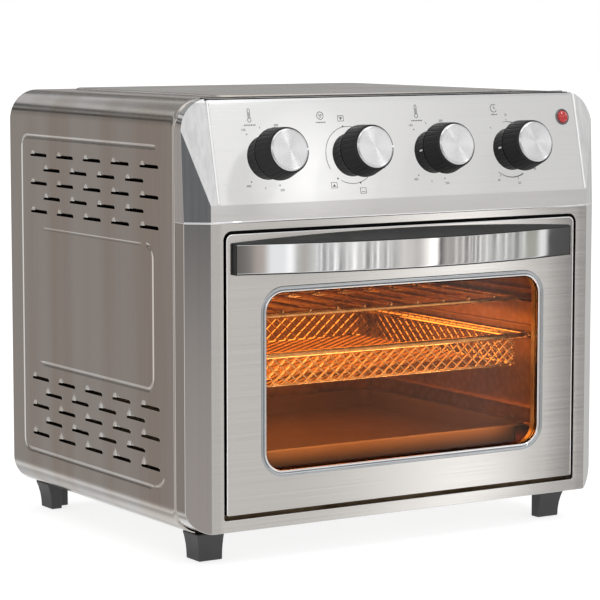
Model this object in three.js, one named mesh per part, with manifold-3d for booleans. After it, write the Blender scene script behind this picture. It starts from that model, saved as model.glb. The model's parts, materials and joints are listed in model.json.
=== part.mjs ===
// Countertop toaster oven with a drop-down glass door, four control knobs and a top convection fan.
// Millimetres. +X is the right-hand side seen from the front, -Y is the front, +Z is up.
// Inside this file Y = 0 is the front face of the door frame; the last lines centre the group in Y.

import * as THREE from 'three';
import { mergeVertices } from 'three/addons/utils/BufferGeometryUtils.js';
import Module from 'manifold-3d';

const wasm = await Module();
wasm.setup();

// ---- Driving dimensions ----------------------------------------------------------------------

const GAP = 0.3; // clearance between pieces that touch
const HALF_WIDTH = 192.5;
const SHEET = 0.8;
const FASCIA_SHEET = 1;

const SHELL_FRONT = 26.1;
const SHELL_REAR = 303;
const SHELL_TOP = 351;
const SHELL_BOTTOM = 22;
const SHELL_TOP_RADIUS = 24.5;
const SHELL_BOTTOM_RADIUS = 22;
const BOTTOM_FLANGE_INNER_X = 150;
const PLATEAU = { halfWidth: 142, front: 46, rear: 292, height: 1.4, radius: 14 };

const LOUVRE = { length: 29, height: 2.6, pitchY: 46.26, pitchZ: 11.55, rearY: 264.6, rows: 5, columns: 5 };
const LOUVRE_GROUP_BASES = [254.2, 70.2];

const FASCIA_REAR = 25.5;
const CHAMFER_WIDTH = 16.1;
const CHAMFER_DEPTH = 12.7;
const SEAM_Z = 259.5;
const SEAM_GAP = 0.4;
const FRAME_BOTTOM = 26;
const FRAME_BOTTOM_RADIUS = 18;
const FOLD_Z = 272.7; // where the control panel starts to lean back
const PANEL_LEAN = Math.atan2(16.7, 74);

const OPENING = { halfWidth: 165.7, bottom: 35.2, top: 253.3, bottomRadius: 2, topRadius: 7 };
const DOOR = { halfWidth: 163.3, bottom: 38.8, top: 250.9, depth: 12, bottomRadius: 1.5, topRadius: 5 };
const WINDOW = { halfWidth: 128.4, bottom: 69.3, top: 205, radius: 15 };
const WINDOW_TRIM_WIDTH = 4.6;
const GLASS = { halfWidth: 138, bottom: 60, top: 214, front: 3.5, rear: 7.3 };
const INNER_FRAME_REAR = 12.4;

const HINGE_Y = 6;
const HINGE_Z = 43;
const HINGE_PIN_RADIUS = 2.3;

const HANDLE = { halfWidth: 160, endDepth: 3.5, depth: 30, bottom: 220.5, frontTop: 243.9, wall: 3.2 };
const STRIP = { halfWidth: 150, thickness: 0.9, lip: 0.8 };

const CAVITY = { halfWidth: 150, front: 15.4, rear: 273, bottom: 48.4, top: 238, sheet: 0.8 };
const GUIDE = { front: 20, rear: 268, bottom: 66, top: 204, plate: 0.8, ledgeDepth: 6, ledgeThickness: 1.5 };
const PAN_LEDGE_Z = 77.7;
const BASKET_LEDGE_Z = 149.9;
const RACK_LEDGE_Z = 179.7;
const UPPER_LEDGE_RISES = { pan: 13, basket: 8.5, rack: 9 };

const HEATER_RADIUS = 3.2;
const HEATER_ROWS_Y = [80, 205];
const HEATER_TOP_Z = 208;
const HEATER_BOTTOM_Z = 58.5;

const FAN_Y = 145;
const FAN_BLADES = 6;
const GUARD_SLOTS = 8;

const FOOT = { outerX: 172, length: 20.5, width: 19.8, wall: 9.5, flare: 3.5, frontY: 27.2, rearY: 293 };

const KNOB_FIRST_X = -124.2;
const KNOB_PITCH = 76;
const KNOB_RISE = 34.5; // distance up the leaning panel from the fold to the knob centres
const KNOB = { skirtRadius: 16.8, skirtHeight: 16.2, gripRadius: 20, frontRadius: 17.5, height: 33.8 };
const KNOB_CAP = { radius: 16.3, thickness: 1.7 };
const KNOB_SHAFT_RADIUS = 2.9;
const KNOB_NAMES = ['air_temp', 'function', 'oven_temp', 'timer'];
const LAMP_X = 160.7;
const LAMP_RISE = 59.7;

const GLAND = { x: 140, z: 62, radius: 8, rear: 309 };

// ---- Materials -------------------------------------------------------------------------------

function finish(color, metalness, roughness) {
  return new THREE.MeshStandardMaterial({ color, metalness, roughness });
}

const stainless = () => finish(0xd9d6d1, 0.9, 0.35);
const shellSteel = () => finish(0x8a827c, 0.85, 0.3);
const chrome = () => finish(0xe8e8e8, 1, 0.08);
const charcoal = () => finish(0x333436, 0, 0.45);
const aluminium = () => finish(0xdedede, 0.9, 0.25);
const galvanised = () => finish(0xa9a6a0, 0.8, 0.45);
const darkEnamel = () => finish(0x3a2f28, 0.2, 0.4);
const wire = () => finish(0xcfc6b8, 0.9, 0.25);
const redLens = () => finish(0xc8202a, 0, 0.15);

function clearGlass() {
  const material = finish(0xd8a070, 0, 0.05);
  material.transparent = true;
  material.opacity = 0.35;
  return material;
}

// ---- Solids: every helper returns a manifold that can be joined and cut -------------------------

function solid(geometry) {
  const bare = geometry.clone();
  bare.deleteAttribute('normal');
  bare.deleteAttribute('uv');
  const merged = mergeVertices(bare, 1e-4);
  const index = merged.index.array;
  const triangles = [];
  for (let i = 0; i < index.length; i += 3) {
    const [a, b, c] = [index[i], index[i + 1], index[i + 2]];
    if (a !== b && b !== c && c !== a) triangles.push(a, b, c);
  }
  return new wasm.Manifold(new wasm.Mesh({
    numProp: 3,
    vertProperties: new Float32Array(merged.attributes.position.array),
    triVerts: new Uint32Array(triangles),
  }));
}

function union(parts) {
  return parts.reduce((total, part) => total.add(part));
}

function box(x0, x1, y0, y1, z0, z1) {
  const geometry = new THREE.BoxGeometry(x1 - x0, y1 - y0, z1 - z0);
  geometry.translate((x0 + x1) / 2, (y0 + y1) / 2, (z0 + z1) / 2);
  return solid(geometry);
}

function outline(points) {
  return new THREE.Shape(points.map(([u, v]) => new THREE.Vector2(u, v)));
}

function roundedOutline(u0, u1, v0, v1, lowRadius, highRadius) {
  const shape = new THREE.Shape();
  shape.moveTo(u0 + lowRadius, v0);
  shape.lineTo(u1 - lowRadius, v0);
  if (lowRadius > 0) shape.absarc(u1 - lowRadius, v0 + lowRadius, lowRadius, -Math.PI / 2, 0);
  shape.lineTo(u1, v1 - highRadius);
  if (highRadius > 0) shape.absarc(u1 - highRadius, v1 - highRadius, highRadius, 0, Math.PI / 2);
  shape.lineTo(u0 + highRadius, v1);
  if (highRadius > 0) shape.absarc(u0 + highRadius, v1 - highRadius, highRadius, Math.PI / 2, Math.PI);
  shape.lineTo(u0, v0 + lowRadius);
  if (lowRadius > 0) shape.absarc(u0 + lowRadius, v0 + lowRadius, lowRadius, Math.PI, 1.5 * Math.PI);
  return shape;
}

// Extrusion of an outline drawn in (y, z), from x0 to x1.
function alongX(shape, x0, x1, curveSegments = 6) {
  const geometry = new THREE.ExtrudeGeometry(shape, { depth: x1 - x0, bevelEnabled: false, curveSegments });
  const turn = new THREE.Matrix4().makeBasis(
    new THREE.Vector3(0, 1, 0), new THREE.Vector3(0, 0, 1), new THREE.Vector3(1, 0, 0));
  geometry.applyMatrix4(turn);
  geometry.translate(x0, 0, 0);
  return solid(geometry);
}

// Extrusion of an outline drawn in (x, z), from y0 to y1.
function alongY(shape, y0, y1, curveSegments = 6) {
  const geometry = new THREE.ExtrudeGeometry(shape, { depth: y1 - y0, bevelEnabled: false, curveSegments });
  geometry.rotateX(Math.PI / 2);
  geometry.translate(0, y1, 0);
  return solid(geometry);
}

// Extrusion of an outline drawn in (x, y), from z0 to z1.
function alongZ(shape, z0, z1, curveSegments = 6) {
  const geometry = new THREE.ExtrudeGeometry(shape, { depth: z1 - z0, bevelEnabled: false, curveSegments });
  geometry.translate(0, 0, z0);
  return solid(geometry);
}

function rodX(radius, x0, x1, y, z, segments = 12) {
  const geometry = new THREE.CylinderGeometry(radius, radius, x1 - x0, segments);
  geometry.rotateZ(Math.PI / 2);
  geometry.translate((x0 + x1) / 2, y, z);
  return solid(geometry);
}

function rodY(radius, y0, y1, x, z, segments = 8) {
  const geometry = new THREE.CylinderGeometry(radius, radius, y1 - y0, segments);
  geometry.translate(x, (y0 + y1) / 2, z);
  return solid(geometry);
}

function rodZ(radius, z0, z1, x, y, segments = 16) {
  const geometry = new THREE.CylinderGeometry(radius, radius, z1 - z0, segments);
  geometry.rotateX(Math.PI / 2);
  geometry.translate(x, y, (z0 + z1) / 2);
  return solid(geometry);
}

// Turned piece about the Z axis; the profile is a list of [radius, height] that starts and ends on it.
function turned(profile, segments = 24) {
  const geometry = new THREE.LatheGeometry(profile.map(([r, h]) => new THREE.Vector2(r, h)), segments);
  geometry.rotateX(Math.PI / 2);
  return solid(geometry);
}

// Open tray: walls and floor of one thickness, with an outline in (x, y).
function tray(halfWidth, y0, y1, z0, z1, wall) {
  const outer = box(-halfWidth, halfWidth, y0, y1, z0, z1);
  return outer.subtract(box(-halfWidth + wall, halfWidth - wall, y0 + wall, y1 - wall, z0 + wall, z1 + 1));
}

const oven = new THREE.Group();

function addPiece(name, body, material, parent = oven) {
  const made = body.getMesh();
  const geometry = new THREE.BufferGeometry();
  geometry.setAttribute('position', new THREE.BufferAttribute(made.vertProperties, 3));
  geometry.setIndex(new THREE.BufferAttribute(made.triVerts, 1));
  geometry.computeVertexNormals();
  const mesh = new THREE.Mesh(geometry, material);
  mesh.name = name;
  parent.add(mesh);
  return mesh;
}

// ---- Leaning control panel: a local frame on its face ------------------------------------------

const panelNormal = new THREE.Vector3(0, -Math.cos(PANEL_LEAN), Math.sin(PANEL_LEAN));

// Turns local +Z to the panel's outward normal and local +Y up the panel.
const panelTurn = new THREE.Quaternion().setFromRotationMatrix(new THREE.Matrix4().makeBasis(
  new THREE.Vector3(1, 0, 0), new THREE.Vector3(0, Math.sin(PANEL_LEAN), Math.cos(PANEL_LEAN)), panelNormal));

function pointOnPanel(x, rise) {
  return new THREE.Vector3(x, rise * Math.sin(PANEL_LEAN), FOLD_Z + rise * Math.cos(PANEL_LEAN));
}

function placeOnPanel(x, rise) {
  const place = new THREE.Group();
  place.position.copy(pointOnPanel(x, rise));
  place.quaternion.copy(panelTurn);
  oven.add(place);
  return place;
}

function panelHole(x, rise, radius) {
  const geometry = new THREE.CylinderGeometry(radius, radius, 20, 16);
  geometry.rotateX(Math.PI / 2);
  geometry.applyQuaternion(panelTurn);
  const centre = pointOnPanel(x, rise);
  geometry.translate(centre.x, centre.y, centre.z);
  return solid(geometry);
}

// ---- Casing ------------------------------------------------------------------------------------

// Rear ends of the louvres in one row; every second row has one fewer and sits half a pitch forward.
function louvreSlots(groupBase) {
  const slots = [];
  for (let row = 0; row < LOUVRE.rows; row++) {
    const shifted = row % 2;
    for (let column = 0; column < LOUVRE.columns - shifted; column++) {
      const rear = LOUVRE.rearY - LOUVRE.pitchY * (column + shifted / 2);
      const z = groupBase + LOUVRE.pitchZ * row;
      const reach = HALF_WIDTH + 5;
      slots.push(box(-reach, reach, rear - LOUVRE.length, rear, z - LOUVRE.height / 2, z + LOUVRE.height / 2));
    }
  }
  return slots;
}

function shellOutline(inset) {
  return roundedOutline(-HALF_WIDTH + inset, HALF_WIDTH - inset, SHELL_BOTTOM + inset, SHELL_TOP - inset,
    SHELL_BOTTOM_RADIUS - inset, SHELL_TOP_RADIUS - inset);
}

function makeOuterShell() {
  const wrap = alongY(shellOutline(0), SHELL_FRONT, SHELL_REAR)
    .subtract(alongY(shellOutline(SHEET), SHELL_FRONT - 1, SHELL_REAR + 1));
  const openBottom = box(-BOTTOM_FLANGE_INNER_X, BOTTOM_FLANGE_INNER_X, SHELL_FRONT - 2, SHELL_REAR + 2,
    SHELL_BOTTOM - 2, SHELL_BOTTOM + SHEET + 2);
  const plateau = alongZ(roundedOutline(-PLATEAU.halfWidth, PLATEAU.halfWidth, PLATEAU.front, PLATEAU.rear,
    PLATEAU.radius, PLATEAU.radius), SHELL_TOP - SHEET / 2, SHELL_TOP + PLATEAU.height, 3);
  const underPlateau = alongZ(roundedOutline(-PLATEAU.halfWidth + SHEET, PLATEAU.halfWidth - SHEET,
    PLATEAU.front + SHEET, PLATEAU.rear - SHEET, PLATEAU.radius - SHEET, PLATEAU.radius - SHEET),
  SHELL_TOP - 3, SHELL_TOP + PLATEAU.height - SHEET, 3);
  const slots = union(LOUVRE_GROUP_BASES.flatMap(louvreSlots));
  return wrap.subtract(openBottom).subtract(slots).add(plateau).subtract(underPlateau);
}

function makeRearPanel() {
  const inset = SHEET + GAP;
  const plate = alongY(roundedOutline(-HALF_WIDTH + inset, HALF_WIDTH - inset, SHELL_BOTTOM + inset + SHEET + 1,
    SHELL_TOP - inset, SHELL_BOTTOM_RADIUS - inset, SHELL_TOP_RADIUS - inset), SHELL_REAR - 4, SHELL_REAR - 2.8);
  const vents = [];
  for (const side of [-1, 1]) {
    for (let k = 0; k < 5; k++) {
      const x = side * (40 + 20 * k);
      vents.push(box(x - 2, x + 2, SHELL_REAR - 10, SHELL_REAR + 10, 250, 310));
    }
  }
  return plate.subtract(union(vents)).subtract(rodY(GLAND.radius - 2, 280, 320, GLAND.x, GLAND.z, 16));
}

// Plan outline of the fascia: flat front, a chamfer at each side, then short straight sides.
function fasciaPlan(inset, rear) {
  const chamfer = Math.hypot(CHAMFER_WIDTH, CHAMFER_DEPTH);
  const frontX = HALF_WIDTH - CHAMFER_WIDTH - inset * (chamfer - CHAMFER_WIDTH) / CHAMFER_DEPTH;
  const sideY = CHAMFER_DEPTH + inset * (chamfer - CHAMFER_DEPTH) / CHAMFER_WIDTH;
  const sideX = HALF_WIDTH - inset;
  return outline([[-frontX, inset], [frontX, inset], [sideX, sideY], [sideX, rear], [-sideX, rear], [-sideX, sideY]]);
}

function ringOutline(window, grow) {
  const low = (window.bottomRadius ?? window.radius) + grow;
  const high = (window.topRadius ?? window.radius) + grow;
  return roundedOutline(-window.halfWidth - grow, window.halfWidth + grow, window.bottom - grow, window.top + grow,
    low, high);
}

function makeFrontFrame() {
  const front = (inset) => roundedOutline(-HALF_WIDTH + inset, HALF_WIDTH - inset, FRAME_BOTTOM + inset,
    SEAM_Z - inset, FRAME_BOTTOM_RADIUS - inset, 0);
  const outer = alongZ(fasciaPlan(0, FASCIA_REAR), 0, SEAM_Z).intersect(alongY(front(0), -5, 40));
  const inner = alongZ(fasciaPlan(FASCIA_SHEET, 60), 0, SEAM_Z).intersect(alongY(front(FASCIA_SHEET), -5, 40));
  return outer.subtract(inner).subtract(alongY(ringOutline(OPENING, 0), -5, 10, 4));
}

// Side outline of the control panel: short upright strip, leaning face, rounded top edge.
function panelSideOutline(inset, bottom, rear) {
  const top = SHELL_TOP - inset;
  const faceY = (z) => (z - FOLD_Z) * Math.tan(PANEL_LEAN) + inset / Math.cos(PANEL_LEAN);
  const foldZ = FOLD_Z + inset * Math.tan(PANEL_LEAN / 2) - inset * Math.tan(PANEL_LEAN);
  const shape = new THREE.Shape();
  shape.moveTo(inset, bottom);
  shape.lineTo(inset, Math.max(foldZ, bottom + 1));
  shape.lineTo(faceY(top - 5), top - 5);
  shape.quadraticCurveTo(faceY(top), top, faceY(top) + 4.5, top);
  shape.lineTo(rear, top);
  shape.lineTo(rear, bottom);
  return shape;
}

function makeControlPanel() {
  const bottom = SEAM_Z + SEAM_GAP;
  const front = (inset, low) => roundedOutline(-HALF_WIDTH + inset, HALF_WIDTH - inset, low, SHELL_TOP - inset,
    0, SHELL_TOP_RADIUS - inset);
  const span = HALF_WIDTH + 5;
  const outer = alongZ(fasciaPlan(0, FASCIA_REAR), bottom, 360)
    .intersect(alongX(panelSideOutline(0, bottom, FASCIA_REAR), -span, span, 4))
    .intersect(alongY(front(0, bottom), -5, 40));
  const inner = alongZ(fasciaPlan(FASCIA_SHEET, 60), bottom - 5, 360)
    .intersect(alongX(panelSideOutline(FASCIA_SHEET, bottom - 5, 60), -span, span, 4))
    .intersect(alongY(front(FASCIA_SHEET, bottom - 5), -5, 70));
  const holes = KNOB_NAMES.map((name, k) => panelHole(KNOB_FIRST_X + KNOB_PITCH * k, KNOB_RISE, 5.2));
  holes.push(panelHole(LAMP_X, LAMP_RISE, 5.6));
  return outer.subtract(inner).subtract(union(holes));
}

// L-shaped leg under a corner: two outer walls that flare towards the top, open on the inner side.
function makeFoot(side, atRear) {
  const height = SHELL_BOTTOM - GAP;
  const flared = (outer, inward) => {
    const shape = new THREE.Shape();
    shape.moveTo(outer + inward, 0);
    shape.lineTo(outer, 0);
    shape.quadraticCurveTo(outer, height * 0.55, outer - Math.sign(inward) * FOOT.flare, height);
    shape.lineTo(outer + inward, height);
    return shape;
  };
  const outerY = atRear ? FOOT.rearY : FOOT.frontY;
  const inY = atRear ? -1 : 1;
  const overX = side * FOOT.outerX;
  const across = alongY(flared(overX, -side * FOOT.length), outerY - 30, outerY + 30, 4);
  const along = alongX(flared(outerY, inY * FOOT.width), overX - 30, overX + 30, 4);
  const innerX = overX - side * FOOT.wall;
  const innerY = outerY + inY * FOOT.wall;
  const pocket = box(Math.min(innerX, innerX - side * 30), Math.max(innerX, innerX - side * 30),
    Math.min(innerY, innerY + inY * 30), Math.max(innerY, innerY + inY * 30), -1, height + 1);
  return across.intersect(along).subtract(pocket);
}

addPiece('outer_shell', makeOuterShell(), shellSteel());
addPiece('rear_panel', makeRearPanel(), galvanised());
addPiece('base_plate', box(-170, 170, SHELL_FRONT + 1, SHELL_REAR - 5, SHELL_BOTTOM + SHEET + GAP,
  SHELL_BOTTOM + 2 * SHEET + GAP), galvanised());
addPiece('front_frame', makeFrontFrame(), stainless());
addPiece('control_panel', makeControlPanel(), stainless());
for (const [sideName, side] of [['left', -1], ['right', 1]]) {
  addPiece(`foot_front_${sideName}`, makeFoot(side, false), charcoal());
  addPiece(`foot_rear_${sideName}`, makeFoot(side, true), charcoal());
}
const gland = turned([[0, 0], [GLAND.radius, 0], [GLAND.radius, 3], [GLAND.radius - 2.3, 3],
  [GLAND.radius - 2.3, 7], [GLAND.radius, 7], [GLAND.radius - 1, GLAND.rear - SHELL_REAR + 7], [0,
    GLAND.rear - SHELL_REAR + 7]], 20).subtract(rodZ(3.2, -5, 30, 0, 0, 12));
const glandMesh = addPiece('cord_gland', gland, charcoal());
glandMesh.rotation.x = -Math.PI / 2;
glandMesh.position.set(GLAND.x, SHELL_REAR - 7, GLAND.z);

// ---- Cooking chamber ------------------------------------------------------------------------------

function makeCavityFront() {
  const inset = FASCIA_SHEET + 0.6;
  const plate = alongY(roundedOutline(-HALF_WIDTH + inset, HALF_WIDTH - inset, FRAME_BOTTOM + inset, SEAM_Z - inset,
    FRAME_BOTTOM_RADIUS - inset, 0), 14, 15);
  return plate.subtract(box(-CAVITY.halfWidth, CAVITY.halfWidth, 10, 20, CAVITY.bottom + 1, CAVITY.top));
}

function makeCavitySide(side) {
  const x0 = side * CAVITY.halfWidth;
  const x1 = side * (CAVITY.halfWidth + CAVITY.sheet);
  const wall = box(Math.min(x0, x1), Math.max(x0, x1), CAVITY.front, CAVITY.rear - GAP,
    CAVITY.bottom + CAVITY.sheet + GAP, CAVITY.top - GAP);
  const holes = HEATER_ROWS_Y.flatMap((y) => [HEATER_TOP_Z, HEATER_BOTTOM_Z]
    .map((z) => rodX(HEATER_RADIUS + 0.8, -200, 200, y, z)));
  return wall.subtract(union(holes));
}

function makeRackGuide(side) {
  const wallX = CAVITY.halfWidth - GAP;
  const slab = (depth, y0, y1, z0, z1) => box(Math.min(side * wallX, side * (wallX - depth)),
    Math.max(side * wallX, side * (wallX - depth)), y0, y1, z0, z1);
  const tops = [
    PAN_LEDGE_Z, PAN_LEDGE_Z + UPPER_LEDGE_RISES.pan + GUIDE.ledgeThickness,
    BASKET_LEDGE_Z, BASKET_LEDGE_Z + UPPER_LEDGE_RISES.basket + GUIDE.ledgeThickness,
    RACK_LEDGE_Z, RACK_LEDGE_Z + UPPER_LEDGE_RISES.rack + GUIDE.ledgeThickness,
  ];
  const ledges = tops.map((z) => slab(GUIDE.ledgeDepth, GUIDE.front, GUIDE.rear, z - GUIDE.ledgeThickness, z));
  return union([slab(GUIDE.plate, GUIDE.front, GUIDE.rear, GUIDE.bottom, GUIDE.top), ...ledges]);
}

addPiece('cavity_front', makeCavityFront(), galvanised());
addPiece('cavity_left', makeCavitySide(-1), galvanised());
addPiece('cavity_right', makeCavitySide(1), galvanised());
const cavityOuterX = CAVITY.halfWidth + CAVITY.sheet;
addPiece('cavity_back', box(-cavityOuterX, cavityOuterX, CAVITY.rear, CAVITY.rear + CAVITY.sheet,
  CAVITY.bottom, CAVITY.top + CAVITY.sheet), galvanised());
addPiece('cavity_floor', box(-cavityOuterX, cavityOuterX, CAVITY.front, CAVITY.rear - GAP, CAVITY.bottom,
  CAVITY.bottom + CAVITY.sheet), galvanised());
addPiece('cavity_top', box(-cavityOuterX, cavityOuterX, CAVITY.front, CAVITY.rear - GAP, CAVITY.top,
  CAVITY.top + CAVITY.sheet).subtract(rodZ(5, 230, 250, 0, FAN_Y)), galvanised());
addPiece('rack_guide_left', makeRackGuide(-1), galvanised());
addPiece('rack_guide_right', makeRackGuide(1), galvanised());

HEATER_ROWS_Y.forEach((y, k) => {
  const place = ['front', 'rear'][k];
  addPiece(`heater_top_${place}`, rodX(HEATER_RADIUS, -160, 160, y, HEATER_TOP_Z, 10), darkEnamel());
  addPiece(`heater_bottom_${place}`, rodX(HEATER_RADIUS, -160, 160, y, HEATER_BOTTOM_Z, 10), darkEnamel());
});

// ---- Convection fan -------------------------------------------------------------------------------

function makeFanGuard() {
  const dish = turned([[0, 0], [66, 0], [72, 6], [72, 13.4], [71, 13.4], [71, 6.5], [65.5, 1], [0, 1]], 24);
  const slots = [];
  for (let k = 0; k < GUARD_SLOTS; k++) {
    const slot = new THREE.BoxGeometry(42, 8, 8);
    slot.translate(38, 0, 0);
    slot.rotateZ((2 * Math.PI * k) / GUARD_SLOTS);
    slots.push(solid(slot));
  }
  return dish.subtract(union(slots));
}

function makeFanBlade() {
  const disc = turned([[0, 0], [50, 0], [50, 1], [8, 1], [8, 7], [0, 7]], 24);
  const blades = [];
  for (let k = 0; k < FAN_BLADES; k++) {
    const blade = new THREE.BoxGeometry(34, 1.2, 8);
    blade.rotateZ(0.35);
    blade.translate(32, 0, 4);
    blade.rotateZ((2 * Math.PI * k) / FAN_BLADES);
    blades.push(solid(blade));
  }
  return union([disc, ...blades]).subtract(rodZ(2.8, -3, 12, 0, 0, 12));
}

const GUARD_Z = CAVITY.top - 13.8;
addPiece('fan_guard', makeFanGuard(), galvanised()).position.set(0, FAN_Y, GUARD_Z);
addPiece('fan_blade', makeFanBlade(), aluminium()).position.set(0, FAN_Y, GUARD_Z + 2.6);
addPiece('fan_shaft', rodZ(2.5, GUARD_Z + 3, 262, 0, FAN_Y, 12), galvanised());
const strap = union([box(-42, 42, FAN_Y - 12, FAN_Y + 12, 246, 247.5), box(-42, -40.5, FAN_Y - 12, FAN_Y + 12,
  CAVITY.top + CAVITY.sheet + GAP, 247), box(40.5, 42, FAN_Y - 12, FAN_Y + 12, CAVITY.top + CAVITY.sheet + GAP, 247)]);
addPiece('motor_bracket', strap.subtract(rodZ(5, 230, 260, 0, FAN_Y)), galvanised());
addPiece('fan_motor', rodZ(25, 247.8, 284, 0, FAN_Y, 24).subtract(rodZ(2.9, 240, 265, 0, FAN_Y, 12)), galvanised());

// ---- Door -------------------------------------------------------------------------------------------

function makeDoorPanel() {
  const skin = alongY(ringOutline(DOOR, 0), 0, DOOR.depth, 4);
  const hollow = alongY(ringOutline(DOOR, -SHEET), SHEET, DOOR.depth + 5, 4);
  const window = alongY(ringOutline(WINDOW, WINDOW_TRIM_WIDTH + GAP), -5, 5, 4);
  return skin.subtract(hollow).subtract(window)
    .subtract(rodX(HINGE_PIN_RADIUS + GAP, -200, 200, HINGE_Y, HINGE_Z));
}

function makeInnerFrame() {
  const inset = SHEET + GAP;
  const plate = alongY(ringOutline(DOOR, -inset), INNER_FRAME_REAR - 2, INNER_FRAME_REAR, 4);
  const clamp = box(-GLASS.halfWidth, GLASS.halfWidth, GLASS.rear + GAP, INNER_FRAME_REAR - 1, GLASS.bottom, GLASS.top);
  return plate.add(clamp).subtract(alongY(ringOutline(WINDOW, 1.5), -5, 30, 4));
}

// Circular bow of the handle's front, in (x, y), set back from the outermost bow by an inset.
function bowOutline(halfWidth, inset, rear) {
  const rise = HANDLE.depth - HANDLE.endDepth;
  const radius = (HANDLE.halfWidth ** 2 + rise ** 2) / (2 * rise);
  const centreY = radius - HANDLE.depth;
  const angle = Math.asin(halfWidth / radius);
  const shape = new THREE.Shape();
  shape.absarc(0, centreY, radius - inset, 1.5 * Math.PI - angle, 1.5 * Math.PI + angle);
  shape.lineTo(halfWidth, rear);
  shape.lineTo(-halfWidth, rear);
  return shape;
}

// Solid under the handle's top face, which climbs from the front edge to an arch at the door.
function underHandleTop() {
  const slope = 0.18;
  const reach = 60;
  const arch = new THREE.Shape();
  const height = HANDLE.frontTop + slope * HANDLE.depth;
  const drop = slope * (HANDLE.depth - HANDLE.endDepth);
  arch.moveTo(-HANDLE.halfWidth - 5, height - 60);
  arch.lineTo(HANDLE.halfWidth + 5, height - 60);
  arch.lineTo(HANDLE.halfWidth + 5, height - drop);
  arch.lineTo(HANDLE.halfWidth, height - drop);
  arch.quadraticCurveTo(0, height + drop, -HANDLE.halfWidth, height - drop);
  arch.lineTo(-HANDLE.halfWidth - 5, height - drop);
  const geometry = new THREE.ExtrudeGeometry(arch, { depth: 2 * reach, bevelEnabled: false, curveSegments: 12 });
  geometry.translate(0, 0, -reach);
  geometry.rotateX(Math.PI / 2);
  geometry.applyMatrix4(new THREE.Matrix4().makeShear(0, 0, 0, slope, 0, 0));
  return solid(geometry);
}

function makeHandleBody() {
  const whole = alongZ(bowOutline(HANDLE.halfWidth, 0, -GAP), HANDLE.bottom, 260, 12).intersect(underHandleTop());
  const stripSeat = alongZ(bowOutline(STRIP.halfWidth + GAP, -5, 0), HANDLE.bottom + STRIP.lip - GAP,
    HANDLE.frontTop - STRIP.lip + GAP, 12)
    .subtract(alongZ(bowOutline(STRIP.halfWidth + 10, STRIP.thickness + GAP, 30), 200, 260, 12));
  const pocket = alongZ(bowOutline(HANDLE.halfWidth - 12, HANDLE.wall, 10), HANDLE.bottom - 5,
    HANDLE.frontTop - HANDLE.wall, 12).intersect(box(-200, 200, -40, -4, 200, 260));
  return whole.subtract(stripSeat).subtract(pocket);
}

function makeHandleStrip() {
  const band = alongZ(bowOutline(STRIP.halfWidth, 0, 0), HANDLE.bottom + STRIP.lip, HANDLE.frontTop - STRIP.lip, 12);
  return band.subtract(alongZ(bowOutline(STRIP.halfWidth + 5, STRIP.thickness, 30), 200, 260, 12));
}

addPiece('door_panel', makeDoorPanel(), stainless());
addPiece('window_trim', alongY(ringOutline(WINDOW, WINDOW_TRIM_WIDTH), 0.4, GLASS.front - GAP, 4)
  .subtract(alongY(ringOutline(WINDOW, 0), -5, 10, 4)), chrome());
addPiece('door_glass', box(-GLASS.halfWidth, GLASS.halfWidth, GLASS.front, GLASS.rear, GLASS.bottom, GLASS.top),
  clearGlass());
addPiece('door_inner_frame', makeInnerFrame(), galvanised());
addPiece('handle_body', makeHandleBody(), charcoal());
addPiece('handle_strip', makeHandleStrip(), chrome());
for (const [sideName, side] of [['left', -1], ['right', 1]]) {
  const pinEnds = [side * 156, side * 171].sort((a, b) => a - b);
  addPiece(`hinge_pin_${sideName}`, rodX(HINGE_PIN_RADIUS, pinEnds[0], pinEnds[1], HINGE_Y, HINGE_Z), galvanised());
  const plateEnds = [side * 167.4, side * 169].sort((a, b) => a - b);
  const plate = box(plateEnds[0], plateEnds[1], FASCIA_SHEET + GAP, 13.6, 32, 58);
  addPiece(`hinge_bracket_${sideName}`, plate.subtract(rodX(HINGE_PIN_RADIUS + GAP, -200, 200, HINGE_Y, HINGE_Z)),
    galvanised());
}

// ---- Racks and trays ----------------------------------------------------------------------------------

const SUPPORT_HALF_WIDTH = 142.5; // centre line of the side wires that rest on the ledges

function wireFrame(y0, y1, z, radius) {
  const x = SUPPORT_HALF_WIDTH;
  return union([
    rodX(radius, -x - radius, x + radius, y0, z, 8), rodX(radius, -x - radius, x + radius, y1, z, 8),
    rodY(radius, y0, y1, -x, z), rodY(radius, y0, y1, x, z),
  ]);
}

function makeWireRack() {
  const radius = 2;
  const frameZ = RACK_LEDGE_Z + GAP + radius;
  const [front, rear] = [42, 262];
  const rods = [];
  for (let k = 0; k < 10; k++) {
    rods.push(rodY(1.5, front - 1, rear + 1, 25.4 * (k - 4.5), frameZ + 3, 6));
  }
  return union([wireFrame(front, rear, frameZ, radius), ...rods, rodX(radius, -142, 142, (front + rear) / 2,
    frameZ, 8)]);
}

function makeBasket() {
  const radius = 2.5;
  const frameZ = BASKET_LEDGE_Z + GAP + radius;
  const [front, rear] = [30, 258];
  const flangeZ = frameZ - 0.6;
  const flange = box(-SUPPORT_HALF_WIDTH, SUPPORT_HALF_WIDTH, front, rear, flangeZ, flangeZ + 1.2)
    .subtract(box(-126, 126, front + 1.2, rear - 1.2, 100, 200));
  return union([wireFrame(front, rear, frameZ, radius), flange, tray(127.2, front, rear, 129, flangeZ + 1, 1.2)]);
}

function makeBakingPan() {
  const rimZ = PAN_LEDGE_Z + GAP;
  const [front, rear] = [34, 262];
  const rim = box(-145.5, 145.5, front - 3, rear + 3, rimZ, rimZ + 1.6)
    .subtract(box(-136.5, 136.5, front + 1, rear - 1, 0, 200));
  return tray(137.5, front, rear, 63.6, rimZ + 1, 1).add(rim);
}

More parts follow.
